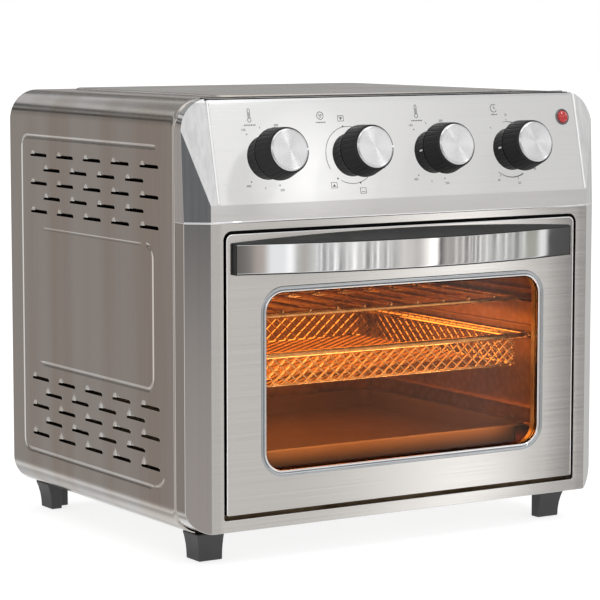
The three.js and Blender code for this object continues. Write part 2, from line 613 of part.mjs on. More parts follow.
addPiece('wire_rack', makeWireRack(), wire());
addPiece('air_fry_basket', makeBasket(), wire());
addPiece('baking_pan', makeBakingPan(), darkEnamel());
addPiece('crumb_tray', tray(147, 20, 266, CAVITY.bottom + CAVITY.sheet + GAP, 53.6, 0.9), galvanised());

// ---- Controls -------------------------------------------------------------------------------------------

function makeKnob() {
  const { skirtRadius, skirtHeight, gripRadius, frontRadius, height } = KNOB;
  return turned([[0, 24], [3.2, 24], [3.2, 5], [6.5, 5], [6.5, 14], [14.8, 14], [14.8, 0.6], [skirtRadius, 0.6],
    [skirtRadius, skirtHeight], [gripRadius - 0.6, skirtHeight + 0.8], [gripRadius, skirtHeight + 2],
    [frontRadius, height], [0, height]], 16);
}

// Body of a thermostat, switch or timer, with the threaded neck that the shaft turns in.
function makeControlUnit() {
  const body = box(-17, 17, -15, 15, -28, -3);
  return body.add(rodZ(4.7, -5, 2.8, 0, 0, 16)).subtract(rodZ(KNOB_SHAFT_RADIUS + 0.4, -22, 6, 0, 0, 12));
}

KNOB_NAMES.forEach((name, k) => {
  const place = placeOnPanel(KNOB_FIRST_X + KNOB_PITCH * k, KNOB_RISE);
  addPiece(`knob_${name}`, makeKnob(), charcoal(), place);
  const capBase = KNOB.height + GAP;
  addPiece(`knob_cap_${name}`, turned([[0, capBase], [KNOB_CAP.radius, capBase],
    [KNOB_CAP.radius, capBase + KNOB_CAP.thickness - 0.7], [KNOB_CAP.radius - 0.7, capBase + KNOB_CAP.thickness],
    [0, capBase + KNOB_CAP.thickness]], 16), aluminium(), place);
  addPiece(`knob_shaft_${name}`, rodZ(KNOB_SHAFT_RADIUS, -20, 22, 0, 0, 12), galvanised(), place);
  addPiece(`control_${name}`, makeControlUnit(), galvanised(), place);
});

const lampPlace = placeOnPanel(LAMP_X, LAMP_RISE);
addPiece('lamp_bezel', rodZ(6.6, 0.3, 1.9, 0, 0, 20).add(rodZ(5.3, -6, 1, 0, 0, 16))
  .subtract(rodZ(4.7, -10, 5, 0, 0, 16)), charcoal(), lampPlace);
addPiece('lamp_lens', turned([[0, -5], [4.4, -5], [4.4, 2.2], [3, 3], [0, 3.4]], 16), redLens(), lampPlace);

// ---- Frame: the origin is on the floor under the middle of the whole oven ----------------------------------

const extent = new THREE.Box3().setFromObject(oven, true);
oven.position.y = -(extent.min.y + extent.max.y) / 2;

export default oven;
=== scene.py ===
"""Looks of the countertop toaster oven: detailed pieces and procedural materials around its CAD frame."""

import json
import math

import bmesh
import bpy
import numpy as np
from mathutils import Matrix, Vector


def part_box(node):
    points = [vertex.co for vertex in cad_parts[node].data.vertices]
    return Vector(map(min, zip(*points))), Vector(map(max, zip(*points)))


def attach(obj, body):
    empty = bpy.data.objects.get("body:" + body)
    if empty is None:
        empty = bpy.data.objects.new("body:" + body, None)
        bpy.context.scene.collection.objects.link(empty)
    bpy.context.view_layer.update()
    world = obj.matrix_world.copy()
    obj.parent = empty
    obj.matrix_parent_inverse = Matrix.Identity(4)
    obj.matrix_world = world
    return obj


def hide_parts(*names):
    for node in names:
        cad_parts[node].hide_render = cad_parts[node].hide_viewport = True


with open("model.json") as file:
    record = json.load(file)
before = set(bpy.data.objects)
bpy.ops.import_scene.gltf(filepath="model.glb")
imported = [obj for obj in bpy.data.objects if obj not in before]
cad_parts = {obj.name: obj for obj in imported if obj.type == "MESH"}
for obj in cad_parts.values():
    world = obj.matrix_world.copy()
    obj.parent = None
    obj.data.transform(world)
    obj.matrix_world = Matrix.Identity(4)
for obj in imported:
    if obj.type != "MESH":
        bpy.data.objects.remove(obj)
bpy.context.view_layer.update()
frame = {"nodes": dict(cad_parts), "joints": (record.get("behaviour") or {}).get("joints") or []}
nodes = frame["nodes"]
joints = {joint["name"]: joint for joint in frame["joints"]}
scene = bpy.context.scene

# Sizes below are millimetres. Depths (Y) are measured from the front face of the door frame.
MM = 0.001
FRONT_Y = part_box("front_frame")[0].y


def to_row(points):
    """Millimetres measured from the door frame's front face, as metres in the row frame."""
    moved = np.array(points, float) * MM
    moved[..., 1] += FRONT_Y
    return moved


def box_mm(node):
    """Lowest and highest corners of a CAD node, in millimetres from the door frame's front face."""
    low, high = (np.array(corner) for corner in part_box(node))
    shift = np.array([0, FRONT_Y, 0])
    return (low - shift) / MM, (high - shift) / MM


# ---- Camera, light and floor ------------------------------------------------------------------

CAMERA_PLACE = (-1.1282, -1.7636, 0.4140)
CAMERA_HEADING = math.radians(32.365)
CAMERA_PITCH = math.radians(6.395)
CAMERA_LENS = 153.46


def make_camera():
    data = bpy.data.cameras.new("camera")
    data.lens = CAMERA_LENS
    data.sensor_width = 36
    data.clip_end = 100
    camera = bpy.data.objects.new("camera", data)
    camera.location = CAMERA_PLACE
    camera.rotation_euler = (math.pi / 2 - CAMERA_PITCH, 0, -CAMERA_HEADING)
    scene.collection.objects.link(camera)
    scene.camera = camera


def area_light(name, place, target, size, power, color=(1, 1, 1)):
    data = bpy.data.lights.new(name, "AREA")
    data.shape = "RECTANGLE"
    data.size, data.size_y = size
    data.energy = power
    data.color = color
    light = bpy.data.objects.new(name, data)
    light.location = place
    light.rotation_euler = (Vector(target) - Vector(place)).to_track_quat("-Z", "Y").to_euler()
    light.visible_camera = False
    scene.collection.objects.link(light)


# What polished steel sees around it, as greys or colours. Heights are the sine of the angle above the
# horizon; turns are degrees from the oven's front (-Y) towards its right (+X).
SKY_BY_HEIGHT = (
    (-1.0, 1.0), (-0.86, 1.0), (-0.84, 0.5), (-0.78, 0.5), (-0.76, 1.0), (-0.5, 0.98), (-0.48, 0.6),
    (-0.42, 0.6), (-0.40, 1.0), (-0.2, 0.98), (0.0, 0.8), (0.16, 0.88), (0.4, 0.92), (0.54, 0.9),
    (0.555, 0.25), (0.6, 0.3), (0.64, 0.95), (0.68, 0.95), (0.735, 0.3), (0.765, 0.35), (0.8, 1.3),
    (0.9, 1.6), (0.955, 1.5), (0.968, 0.4), (0.98, 0.5), (0.985, 1.2), (1.0, 1.2))
HORIZON_BY_TURN = (
    (-180, (0.42, 0.40, 0.38)), (-140, (0.42, 0.38, 0.36)), (-112, (0.50, 0.49, 0.48)), (-100, 1.3),
    (-72, 1.3), (-64, (0.48, 0.44, 0.42)), (-34, (0.46, 0.42, 0.40)), (-24, 0.5), (-14, 1.1), (9, 0.9),
    (24, (0.82, 0.81, 0.79)), (30.9, (0.70, 0.67, 0.64)), (31.8, (0.70, 0.67, 0.64)),
    (32.5, (0.52, 0.50, 0.48)), (33.4, (0.76, 0.73, 0.70)), (34.8, (0.9, 0.87, 0.84)),
    (35.6, (1.6, 1.56, 1.5)), (36.7, (2.1, 2.05, 2.0)), (37.2, (0.35, 0.34, 0.33)),
    (38.0, (0.12, 0.11, 0.11)), (38.5, (0.14, 0.13, 0.12)), (39.1, (0.46, 0.44, 0.42)),
    (45, (0.62, 0.60, 0.58)), (52, (0.8, 0.8, 0.78)), (64, (0.7, 0.7, 0.68)), (76, 0.5),
    (84, (0.85, 0.85, 0.83)), (125, 0.6), (150, (0.42, 0.42, 0.41)), (180, (0.40, 0.38, 0.36)))
# Behind the oven, where only its rounded top edge and top sheet look.
REAR_LEFT_BY_HEIGHT = (
    (0.1, (0.42, 0.38, 0.36)), (0.2, (0.33, 0.31, 0.29)), (0.245, (0.36, 0.34, 0.32)), (0.25, 0.02),
    (0.29, 0.02), (0.295, (0.36, 0.35, 0.34)), (0.35, (0.4, 0.39, 0.38)), (0.355, 0.03), (0.395, 0.03),
    (0.4, (0.8, 0.8, 0.79)), (0.47, 0.8), (0.475, 0.1), (0.495, 0.1), (0.5, 0.4), (0.6, 0.42), (0.75, 1.0))
# Sharp-edged panels near the horizon, which only the bowed chrome strip spreads out.
PANELS_BY_TURN = (
    (-12.0, (0.11, 0.11, 0.10)), (-7.0, (0.15, 0.14, 0.13)), (-5.2, (0.2, 0.19, 0.18)),
    (-4.2, (0.24, 0.23, 0.22)), (-3.9, (0.42, 0.36, 0.31)), (-1.4, (0.46, 0.41, 0.37)),
    (-1.0, (0.92, 0.93, 0.94)), (2.9, (0.90, 0.91, 0.92)), (3.2, (0.45, 0.46, 0.46)), (3.7, 0.5),
    (3.8, 1.2), (4.7, 1.2), (4.9, (0.6, 0.62, 0.6)), (7.0, (0.48, 0.45, 0.42)), (9.0, (0.6, 0.6, 0.58)))
END_PANELS_BY_TURN = (
    (61.5, (0.4, 0.4, 0.36)), (65.2, (0.42, 0.42, 0.38)), (65.4, 0.9), (68.5, 0.85), (68.7, 0.1),
    (80.0, 0.08))
FLANKS_BY_TURN = (
    (-112, 1.0), (-98, 1.35), (8, 1.35), (20, 1.0), (50, 1.0), (60, 1.3), (110, 1.3), (128, 1.0))
SLAT_TONES = (
    (0.34, 0.38), (0.41, 0.55), (0.42, 0.8), (0.47, 0.68), (0.48, 0.95), (0.5, 0.75), (0.54, 0.9),
    (0.55, 1.35), (0.6, 1.5), (0.61, 0.8), (0.66, 0.6))
SLATTED_TURNS = (
    (8.9, 0.0), (9.1, 1.0), (27.5, 1.0), (29.5, 0.1), (39.5, 0.1), (41, 1.0), (61.5, 1.0), (62, 0.0))
SCREEN_TONE = (0.165, 0.17, 0.175, 1)


def set_stops(elements, stops):
    """Fills a colour ramp; each stop is (position, colour or grey)."""
    while len(elements) > 1:
        elements.remove(elements[-1])
    elements[0].position = stops[0][0]
    for k, (position, color) in enumerate(stops):
        element = elements[0] if k == 0 else elements.new(position)
        element.color = (*color, 1) if isinstance(color, tuple) else (color, color, color, 1)


def make_world():
    """Soft white studio: bright above and below, greyer round the horizon, with tall soft panels there."""
    world = bpy.data.worlds.new("studio")
    scene.world = world
    world.use_nodes = True
    tree = world.node_tree
    background = tree.nodes["Background"]

    def node(kind, inputs=(), **settings):
        made = tree.nodes.new(kind)
        for key, value in settings.items():
            setattr(made, key, value)
        for socket, value in enumerate(inputs):
            if isinstance(value, bpy.types.NodeSocket):
                tree.links.new(value, made.inputs[socket])
            elif value is not None:
                made.inputs[socket].default_value = value
        return made

    def calculated(operation, *values):
        return node("ShaderNodeMath", values, operation=operation).outputs[0]

    def ramp(value, stops):
        made = node("ShaderNodeValToRGB", (value,))
        set_stops(made.color_ramp.elements, stops)
        return made.outputs["Color"]

    direction = node("ShaderNodeTexCoord").outputs["Generated"]
    split = node("ShaderNodeSeparateXYZ", (direction,)).outputs
    turn = calculated("ARCTAN2", split["X"], calculated("MULTIPLY", split["Y"], -1.0))
    turn = calculated("MULTIPLY_ADD", turn, 0.5 / math.pi, 0.5)
    height = calculated("MULTIPLY_ADD", split["Z"], 0.5, 0.5)

    def by_height(*stops):
        return ramp(height, [((h + 1) / 2, value) for h, value in stops])

    def by_turn(*stops):
        return ramp(turn, [((t + 180) / 360, value) for t, value in stops])

    def mixed(factor, color_a, color_b, blend="MIX"):
        inputs = (factor, None, None, None, None, None, color_a, color_b)
        return node("ShaderNodeMix", inputs, data_type="RGBA", blend_type=blend).outputs[2]

    def multiplied(color_a, color_b):
        return mixed(1.0, color_a, color_b, "MULTIPLY")

    white = (1, 1, 1, 1)
    flank_heights = by_height((0.1, 0.0), (0.2, 1.0), (0.42, 1.0), (0.54, 0.0))
    sky = multiplied(by_height(*SKY_BY_HEIGHT), mixed(flank_heights, white, by_turn(*FLANKS_BY_TURN)))
    wave = node("ShaderNodeTexNoise", (None, turn, 150.0, 2.0, 0.62), noise_dimensions="1D").outputs[0]
    slats = mixed(by_turn(*SLATTED_TURNS), white, ramp(wave, SLAT_TONES))
    band = multiplied(by_turn(*HORIZON_BY_TURN), slats)
    panels = by_turn((-12.1, 0.0), (-12.0, 1.0), (9.0, 1.0), (9.1, 0.0))
    band = mixed(panels, band, by_turn(*PANELS_BY_TURN))
    end_panels = by_turn((61.5, 0.0), (61.6, 1.0), (80.0, 1.0), (82.0, 0.0))
    band = mixed(end_panels, band, by_turn(*END_PANELS_BY_TURN))
    light = mixed(by_height((-0.36, 0.0), (-0.27, 1.0), (0.12, 1.0), (0.25, 0.0)), sky, band)
    rear_left = by_turn((-180, 1.0), (-125, 1.0), (-112, 0.0), (110, 0.0), (135, 1.0), (180, 1.0))
    rear_left = multiplied(rear_left, by_height((0.08, 0.0), (0.12, 1.0), (0.7, 1.0), (0.8, 0.0)))
    light = mixed(rear_left, light, by_height(*REAR_LEFT_BY_HEIGHT))
    screen = by_turn((-62, 0.0), (-58, 1.0), (-36, 1.0), (-32, 0.0))
    screen = multiplied(screen, by_height((-0.13, 0.0), (-0.09, 1.0), (0.3, 1.0), (0.4, 0.0)))
    light = mixed(screen, light, SCREEN_TONE)
    tree.links.new(light, background.inputs["Color"])
    paper = node("ShaderNodeBackground", (white, 1.0))
    camera_ray = node("ShaderNodeLightPath").outputs["Is Camera Ray"]
    shown = node("ShaderNodeMixShader", (camera_ray, background.outputs[0], paper.outputs[0]))
    tree.links.new(shown.outputs[0], tree.nodes["World Output"].inputs["Surface"])


def make_lights():
    scene.view_settings.view_transform = "Standard"
    make_world()
    area_light("panel_glow", (1.006, -1.70, 0.885), (-0.075, -0.13, 0.285), (0.3, 0.3), 0.22)
    area_light("cap_key", (0.80, -1.42, 1.95), (0, -0.13, 0.31), (0.2, 0.5), 5)
    warm = (1.0, 0.38, 0.07)
    area_light("chamber_glow", to_row([0, 150, 172]), to_row([0, 150, 60]), (0.24, 0.18), 0.68, warm)
    area_light("front_glow", to_row([0, 15, 76]), to_row([0, 70, 160]), (0.24, 0.012), 0.2, (1.0, 0.5, 0.2))
    area_light("floor_glow", to_row([0, 60, 92]), to_row([0, 250, 190]), (0.24, 0.04), 0.03, warm)


def make_floor():
    floor_mesh = bpy.data.meshes.new("floor")
    tool = bmesh.new()
    bmesh.ops.create_circle(tool, cap_ends=True, segments=96, radius=14)
    tool.to_mesh(floor_mesh)
    tool.free()
    floor = bpy.data.objects.new("floor", floor_mesh)
    floor.location.z = -0.0005
    paper = Shader("floor_paper").set(Emission_Color=(1.0, 1.0, 1.0), Emission_Strength=0.78)
    paper.set(Roughness=0.9, Specular_IOR_Level=0.0)
    tone = paper.ramp(paper.noise(2, detail=2), (0.3, 0.36), (0.7, 0.38))
    floor_mesh.materials.append(paper.finish(tone))
    scene.collection.objects.link(floor)
    floor.visible_glossy = False


# ---- Materials --------------------------------------------------------------------------------


class Shader:
    """A node material around one Principled shader, with short calls for the nodes used here."""

    def __init__(self, name):
        self.material = bpy.data.materials.new(name)
        self.material.use_nodes = True
        self.tree = self.material.node_tree
        self.bsdf = self.tree.nodes["Principled BSDF"]
        self.place = self.node("ShaderNodeTexCoord").outputs["Object"]

    def node(self, kind, **settings):
        made = self.tree.nodes.new(kind)
        for key, value in settings.items():
            setattr(made, key, value)
        return made

    def link(self, source, target):
        self.tree.links.new(source, target)

    def set(self, **values):
        """Puts plain numbers and colours on the shader's own sockets."""
        for key, value in values.items():
            socket = self.bsdf.inputs[key.replace("_", " ")]
            socket.default_value = (*value, 1) if isinstance(value, tuple) and len(value) == 3 else value
        return self

    def split(self, vector=None):
        """X, Y and Z of a vector, or of the place on the piece."""
        node = self.node("ShaderNodeSeparateXYZ")
        self.link(self.place if vector is None else vector, node.inputs["Vector"])
        return node.outputs

    def sideways(self):
        """How far a face looks along X: 1 for the flanks."""
        normal = self.node("ShaderNodeTexCoord").outputs["Normal"]
        return self.math("ABSOLUTE", self.split(normal)["X"])

    def noise(self, scale, stretch=(1, 1, 1), detail=3, rough=0.5):
        texture = self.texture("ShaderNodeTexNoise", scale, stretch)
        texture.inputs["Detail"].default_value = detail
        texture.inputs["Roughness"].default_value = rough
        return texture.outputs["Fac"]

    def cells(self, scale):
        return self.texture("ShaderNodeTexVoronoi", scale).outputs["Distance"]

    def texture(self, kind, scale, stretch=(1, 1, 1)):
        mapping = self.node("ShaderNodeMapping")
        mapping.inputs["Scale"].default_value = stretch
        self.link(self.place, mapping.inputs["Vector"])
        texture = self.node(kind)
        texture.inputs["Scale"].default_value = scale
        self.link(mapping.outputs["Vector"], texture.inputs["Vector"])
        return texture

    def ramp(self, value, *stops):
        """Colour by value; each stop is (position, colour or grey)."""
        ramp = self.node("ShaderNodeValToRGB")
        set_stops(ramp.color_ramp.elements, stops)
        self.link(value, ramp.inputs["Fac"])
        return ramp.outputs["Color"]

    def scaled(self, value, low, high, from_low=0.3, from_high=0.7):
        node = self.node("ShaderNodeMapRange")
        numbers = {"From Min": from_low, "From Max": from_high, "To Min": low, "To Max": high}
        for name, number in numbers.items():
            node.inputs[name].default_value = number
        self.link(value, node.inputs["Value"])
        return node.outputs["Result"]

    def math(self, operation, *values):
        node = self.node("ShaderNodeMath", operation=operation)
        for socket, value in zip(node.inputs, values):
            if isinstance(value, bpy.types.NodeSocket):
                self.link(value, socket)
            else:
                socket.default_value = value
        return node.outputs["Value"]

    def mix(self, factor, color_a, color_b):
        node = self.node("ShaderNodeMix", data_type="RGBA")
        for socket, value in ((0, factor), (6, color_a), (7, color_b)):
            if isinstance(value, bpy.types.NodeSocket):
                self.link(value, node.inputs[socket])
            else:
                node.inputs[socket].default_value = (*value, 1)
        return node.outputs[2]

    def bump(self, height, distance):
        node = self.node("ShaderNodeBump")
        node.inputs["Strength"].default_value = 1
        node.inputs["Distance"].default_value = distance
        self.link(height, node.inputs["Height"])
        return node.outputs["Normal"]

    def finish(self, color, roughness=None, normal=None):
        for value, name in ((color, "Base Color"), (roughness, "Roughness"), (normal, "Normal")):
            if value is not None:
                self.link(value, self.bsdf.inputs[name])
        return self.material


def toned(color, factor):
    return tuple(factor * channel for channel in color)


def plain_material(name, color, roughness):
    """Paper or paint with a faint unevenness."""
    shader = Shader(name)
    mottle = shader.noise(30)
    tone = shader.ramp(mottle, (0.3, toned(color, 0.97)), (0.7, color))
    return shader.finish(tone, shader.scaled(mottle, roughness - 0.05, roughness + 0.05))


def brushed_steel(name, dark, light, roughness, shade, side_shade=None):
    """Sheet brushed across, with sideways faces brushed upright, which may get a darker tone as painted
    shade; shade paints light and shade into the tone by place."""
    shader = Shader(name).set(Metallic=1.0, Anisotropic=0.85)
    facing = shader.sideways()
    sideways = shader.scaled(facing, 0, 1, 0.3, 0.45)
    across = shader.noise(1, (3, 900, 900), detail=4, rough=0.65)
    upright = shader.noise(1, (500, 500, 1.5), detail=2)
    lines = shader.mix(sideways, across, upright)
    tone = shader.ramp(lines, (0.25, dark), (0.75, light))
    tone = shader.mix(shader.scaled(shader.noise(6, detail=2), 0.0, 0.35), tone, light)
    # Painted shade: faces turned fully sideways get the darker side tone.
    if side_shade is not None:
        tone = shader.mix(shader.scaled(facing, 0, 1, 0.8, 0.95), tone, side_shade)
    tangent = shader.node("ShaderNodeCombineXYZ")
    tangent.inputs["Z"].default_value = 1
    shader.link(tangent.outputs["Vector"], shader.bsdf.inputs["Tangent"])
    rough = shader.scaled(lines, roughness - 0.03, roughness + 0.03)
    rough = shader.mix(sideways, rough, (0.1, 0.1, 0.1))
    return shader.finish(shade(shader, tone), rough, shader.bump(lines, 0.000005))


def panel_grain_and_painted_light(shader, tone):
    """A painted highlight between two dials, painted shade on the foot below the fold, and upright-brushed
    grain with painted shade on the side strips outside the folds.
    """
    # Painted highlight: a lighter patch round a point between the first two dials.
    distance = shader.node("ShaderNodeVectorMath", operation="DISTANCE")
    shader.link(shader.place, distance.inputs[0])
    distance.inputs[1].default_value = (-0.084, -0.133, 0.290)
    painted_highlight = shader.scaled(distance.outputs["Value"], 1, 0, 0.010, 0.060)
    tone = shader.mix(painted_highlight, tone, (0.97, 0.97, 0.97))
    # Painted shade: the foot below the fold is darkened.
    foot = shader.scaled(shader.split()["Z"], 0.3, 0, 0.2722, 0.2732)
    tone = shader.mix(foot, tone, (0.50, 0.49, 0.48))
    # Painted shade with upright grain: faces turned a little sideways, the strips outside the folds, get a
    # darker grained tone.
    turned = shader.scaled(shader.sideways(), 0, 1, 0.07, 0.11)
    grain = shader.noise(1, (350, 350, 1.5), detail=1)
    return shader.mix(turned, tone, shader.ramp(grain, (0.3, 0.64), (0.7, 0.74)))


def door_painted_shade(shader, tone):
    """Painted shade on the opening's edges, and a painted darker reflection over the stretch near the door's
    right edge.
    """
    # Painted reflection: the door steel darkens towards its right edge.
    right = shader.scaled(shader.split()["X"], 0, 0.75, 0.136, 0.160)
    return opening_painted_shade(shader, shader.mix(right, tone, (0.42, 0.41, 0.40)))


def opening_painted_shade(shader, tone):
    """Paints shade on the folded edges inside the door opening, nearly black, and a little painted shade on
    the frame's upright bars.
    """
    x, y, z = shader.split()
    across = shader.math("ABSOLUTE", x)
    # Painted shade: edges behind the front face, inside the opening, go nearly black.
    behind = shader.scaled(y, 0, 1, FRONT_Y + 0.0010, FRONT_Y + 0.0016)
    within = shader.scaled(across, 1, 0, 0.1658, 0.1662)
    above = shader.scaled(z, 0, 1, 0.0345, 0.0350)
    under = shader.scaled(z, 1, 0, 0.2545, 0.2550)
    opening_gap_shade = shader.math("MULTIPLY", behind, within)
    opening_gap_shade = shader.math("MULTIPLY", opening_gap_shade, shader.math("MULTIPLY", above, under))
    # Painted shade: the frame's upright bars beside the door are darkened a little.
    bar_shade = shader.scaled(across, 0, 0.3, 0.1655, 0.1700)
    tone = shader.mix(bar_shade, tone, (0.42, 0.41, 0.40))
    return shader.mix(opening_gap_shade, tone, (0.012, 0.011, 0.010))


def satin_shell():
    """Smoked satin sheet of the wrap: faint upright bands, fine grain and a few wipe marks."""
    shader = Shader("satin_shell").set(Metallic=1.0)
    bands = shader.noise(1, (3, 26, 0.4), detail=1)
    grain = shader.noise(1, (900, 900, 12), detail=3)
    warm, middle, cool = (0.47, 0.42, 0.375), (0.51, 0.485, 0.46), (0.54, 0.53, 0.52)
    tone = shader.ramp(bands, (0.35, warm), (0.5, middle), (0.66, cool))
    tone = shader.mix(shader.scaled(grain, 0.0, 0.3), tone, (0.58, 0.565, 0.55))
    wipe = shader.noise(9, (1, 1, 0.3), detail=4)
    return shader.finish(tone, shader.scaled(wipe, 0.13, 0.19), shader.bump(grain, 0.000002))


def polished_chrome(name, color, roughness):
    shader = Shader(name).set(Metallic=1.0)
    haze = shader.noise(40, detail=4)
    tone = shader.ramp(haze, (0.3, toned(color, 0.95)), (0.7, color))
    return shader.finish(tone, shader.scaled(haze, roughness * 0.6, roughness * 1.6))


def moulded_plastic(name, grey, roughness=0.42, specular=0.45):
    """Satin moulding with a fine spark-eroded grain and slightly worn, lighter high spots."""
    shader = Shader(name).set(Specular_IOR_Level=specular)
    grain = shader.noise(2600, detail=2)
    cloud = shader.noise(55, detail=3)
    tone = shader.ramp(cloud, (0.3, toned(grey, 0.86)), (0.7, toned(grey, 1.12)))
    rough = shader.scaled(cloud, roughness - 0.05, roughness + 0.07)
    return shader.finish(tone, rough, shader.bump(grain, 0.00002))


def spun_aluminium():
    """Turned face: rings about the piece's own Z axis and a highlight that fans out from the centre."""
    shader = Shader("spun_aluminium").set(Metallic=1.0, Anisotropic=0.85, Anisotropic_Rotation=0.25)
    place = shader.split()
    flat = shader.node("ShaderNodeCombineXYZ")
    shader.link(place["X"], flat.inputs["X"])
    shader.link(place["Y"], flat.inputs["Y"])
    length = shader.node("ShaderNodeVectorMath", operation="LENGTH")
    shader.link(flat.outputs["Vector"], length.inputs[0])
    texture = shader.node("ShaderNodeTexNoise", noise_dimensions="1D")
    texture.inputs["Scale"].default_value = 5200
    texture.inputs["Detail"].default_value = 3
    shader.link(length.outputs["Value"], texture.inputs["W"])
    tangent = shader.node("ShaderNodeTangent", direction_type="RADIAL", axis="Z")
    shader.link(tangent.outputs["Tangent"], shader.bsdf.inputs["Tangent"])
    rings = texture.outputs["Fac"]
    tone = shader.ramp(rings, (0.3, (0.64, 0.64, 0.65)), (0.7, (0.80, 0.80, 0.81)))
    return shader.finish(tone, shader.scaled(rings, 0.24, 0.34), shader.bump(rings, 0.000006))


def zinc_sheet(name, dark, light, roughness=0.4):
    """Zinc or aluminium coated sheet with its crystal pattern."""
    shader = Shader(name).set(Metallic=1.0)
    crystal = shader.cells(160)
    cloud = shader.noise(24, detail=4)
    tone = shader.ramp(crystal, (0.1, light), (0.8, dark))
    middle = tuple((a + b) / 2 for a, b in zip(dark, light))
    tone = shader.mix(shader.scaled(cloud, 0.1, 0.5), tone, middle)
    rough = shader.scaled(cloud, roughness - 0.08, roughness + 0.1)
    return shader.finish(tone, rough, shader.bump(crystal, 0.00001))


def pan_enamel():
    """Dark baked enamel with pale specks, semi-gloss."""
    shader = Shader("pan_enamel").set(Specular_IOR_Level=0.2)
    specks = shader.cells(900)
    cloud = shader.noise(20, detail=3)
    pale, brown, dark = (0.18, 0.14, 0.10), (0.085, 0.06, 0.04), (0.07, 0.048, 0.033)
    tone = shader.ramp(specks, (0.0, pale), (0.12, brown), (1.0, dark))
    return shader.finish(tone, shader.scaled(cloud, 0.45, 0.6), shader.bump(specks, 0.00003))


def plated_wire(name, dark, light):
    shader = Shader(name).set(Metallic=1.0)
    stain = shader.noise(120, detail=4)
    tone = shader.ramp(stain, (0.35, dark), (0.65, light))
    return shader.finish(tone, shader.scaled(stain, 0.14, 0.3), shader.bump(stain, 0.00002))


def heater_sheath():
    """Oxidised sheath of a heating rod, glowing dull orange except at its ends."""
    shader = Shader("heater_sheath").set(Metallic=0.6, Emission_Strength=0.9)
    scale = shader.noise(320, detail=5)
    tone = shader.ramp(scale, (0.35, (0.10, 0.07, 0.055)), (0.65, (0.26, 0.16, 0.11)))
    glow = shader.ramp(scale, (0.3, (0.55, 0.09, 0.01)), (0.7, (1.0, 0.24, 0.03)))
    reach = shader.math("ABSOLUTE", shader.split()["X"])
    glow = shader.mix(shader.scaled(reach, 0, 1, 0.128, 0.144), glow, (0, 0, 0))
    shader.link(glow, shader.bsdf.inputs["Emission Color"])
    return shader.finish(tone, shader.scaled(scale, 0.5, 0.75), shader.bump(scale, 0.00005))


def oven_glass():
    """Tempered pane whose warm orange tint paints the glow of the lit chamber behind it, with a faint haze of
    baked-on film.
    """
    shader = Shader("oven_glass").set(Transmission_Weight=1.0, IOR=1.25)
    haze = shader.noise(14, detail=5)
    tone = shader.ramp(haze, (0.3, (0.86, 0.56, 0.30)), (0.75, (0.94, 0.66, 0.40)))
    return shader.finish(tone, shader.scaled(haze, 0.0, 0.04, 0.4, 0.8))


def red_lens():
    shader = Shader("red_lens").set(Transmission_Weight=0.35, Coat_Weight=0.8, Coat_Roughness=0.08, IOR=1.49)
    cloud = shader.noise(500, detail=2)
    tone = shader.ramp(cloud, (0.3, (0.62, 0.012, 0.02)), (0.7, (0.86, 0.035, 0.04)))
    return shader.finish(tone, shader.scaled(cloud, 0.12, 0.22), shader.bump(cloud, 0.00006))


STEEL_TONES = ((0.69, 0.68, 0.665), (0.74, 0.73, 0.72))
PANEL_TONES = ((0.72, 0.72, 0.715), (0.77, 0.77, 0.77))
# Painted shade for the sideways faces of the frame and panel steel.
FLANK_SHADE = (0.50, 0.47, 0.445)

SHELL = satin_shell()
FRAME_STEEL = brushed_steel("frame_steel", *STEEL_TONES, 0.16, opening_painted_shade, FLANK_SHADE)
DOOR_STEEL = brushed_steel("door_steel", *STEEL_TONES, 0.16, door_painted_shade)
PANEL_STEEL = brushed_steel("panel_steel", *PANEL_TONES, 0.3, panel_grain_and_painted_light, FLANK_SHADE)
LAMP_METAL = zinc_sheet("lamp_ring_metal", (0.12, 0.12, 0.12), (0.24, 0.24, 0.24), roughness=0.35)
CHROME = polished_chrome("polished_chrome", (0.86, 0.86, 0.865), roughness=0.05)
# A darker copy of the polished chrome for the window rim's outer band: painted shade.
RIM_BAND = polished_chrome("rim_band", (0.50, 0.52, 0.54), roughness=0.12)
CHARCOAL = moulded_plastic("charcoal_plastic", (0.042, 0.042, 0.044))
HANDLE_PLASTIC = moulded_plastic("handle_plastic", (0.034, 0.034, 0.034), roughness=0.55, specular=0.1)
KNOB_PLASTIC = moulded_plastic("knob_plastic", (0.017, 0.017, 0.017), roughness=0.45, specular=0.22)
RUBBER = moulded_plastic("soft_rubber", (0.008, 0.008, 0.008), roughness=0.7, specular=0.1)
# Near-black, nearly without sheen: painted shade, for dark pieces put in gaps, grooves and lines where there
# is only shade.
SHADE_BLACK = moulded_plastic("painted_shade_black", (0.002, 0.002, 0.002), roughness=0.8, specular=0.02)
SPUN = spun_aluminium()
GALVANISED = zinc_sheet("galvanised_sheet", (0.42, 0.42, 0.41), (0.62, 0.62, 0.60))
# The chamber sheet's crystal pattern is its own; its warm orange-brown tones are painted glow from the
# heaters.
CHAMBER_SHEET = zinc_sheet("aluminised_chamber", (0.37, 0.26, 0.16), (0.54, 0.42, 0.28), roughness=0.36)
MOTOR_STEEL = zinc_sheet("motor_steel", (0.30, 0.30, 0.30), (0.50, 0.50, 0.48))
ENAMEL = pan_enamel()
WIRE = plated_wire("plated_wire", (0.62, 0.55, 0.47), (0.83, 0.80, 0.75))
# A darker copy of the plated wire for the basket's floor mesh: painted shade behind the front mesh.
SHADED_WIRE = plated_wire("shaded_floor_wire", (0.22, 0.16, 0.11), (0.34, 0.26, 0.19))
HEATER = heater_sheath()
GLASS = oven_glass()
RED = red_lens()
# Near-white matte paint for thin tubes that paint highlights on folds and rolled edges.
EDGE_HIGHLIGHT = plain_material("painted_edge_highlight", (0.95, 0.95, 0.95), roughness=0.35)
INK = plain_material("panel_ink", (0.05, 0.05, 0.052), roughness=0.55)
WHITE_PAINT = plain_material("pointer_paint", (0.85, 0.85, 0.84), roughness=0.4)


# ---- Mesh building ----------------------------------------------------------------------------


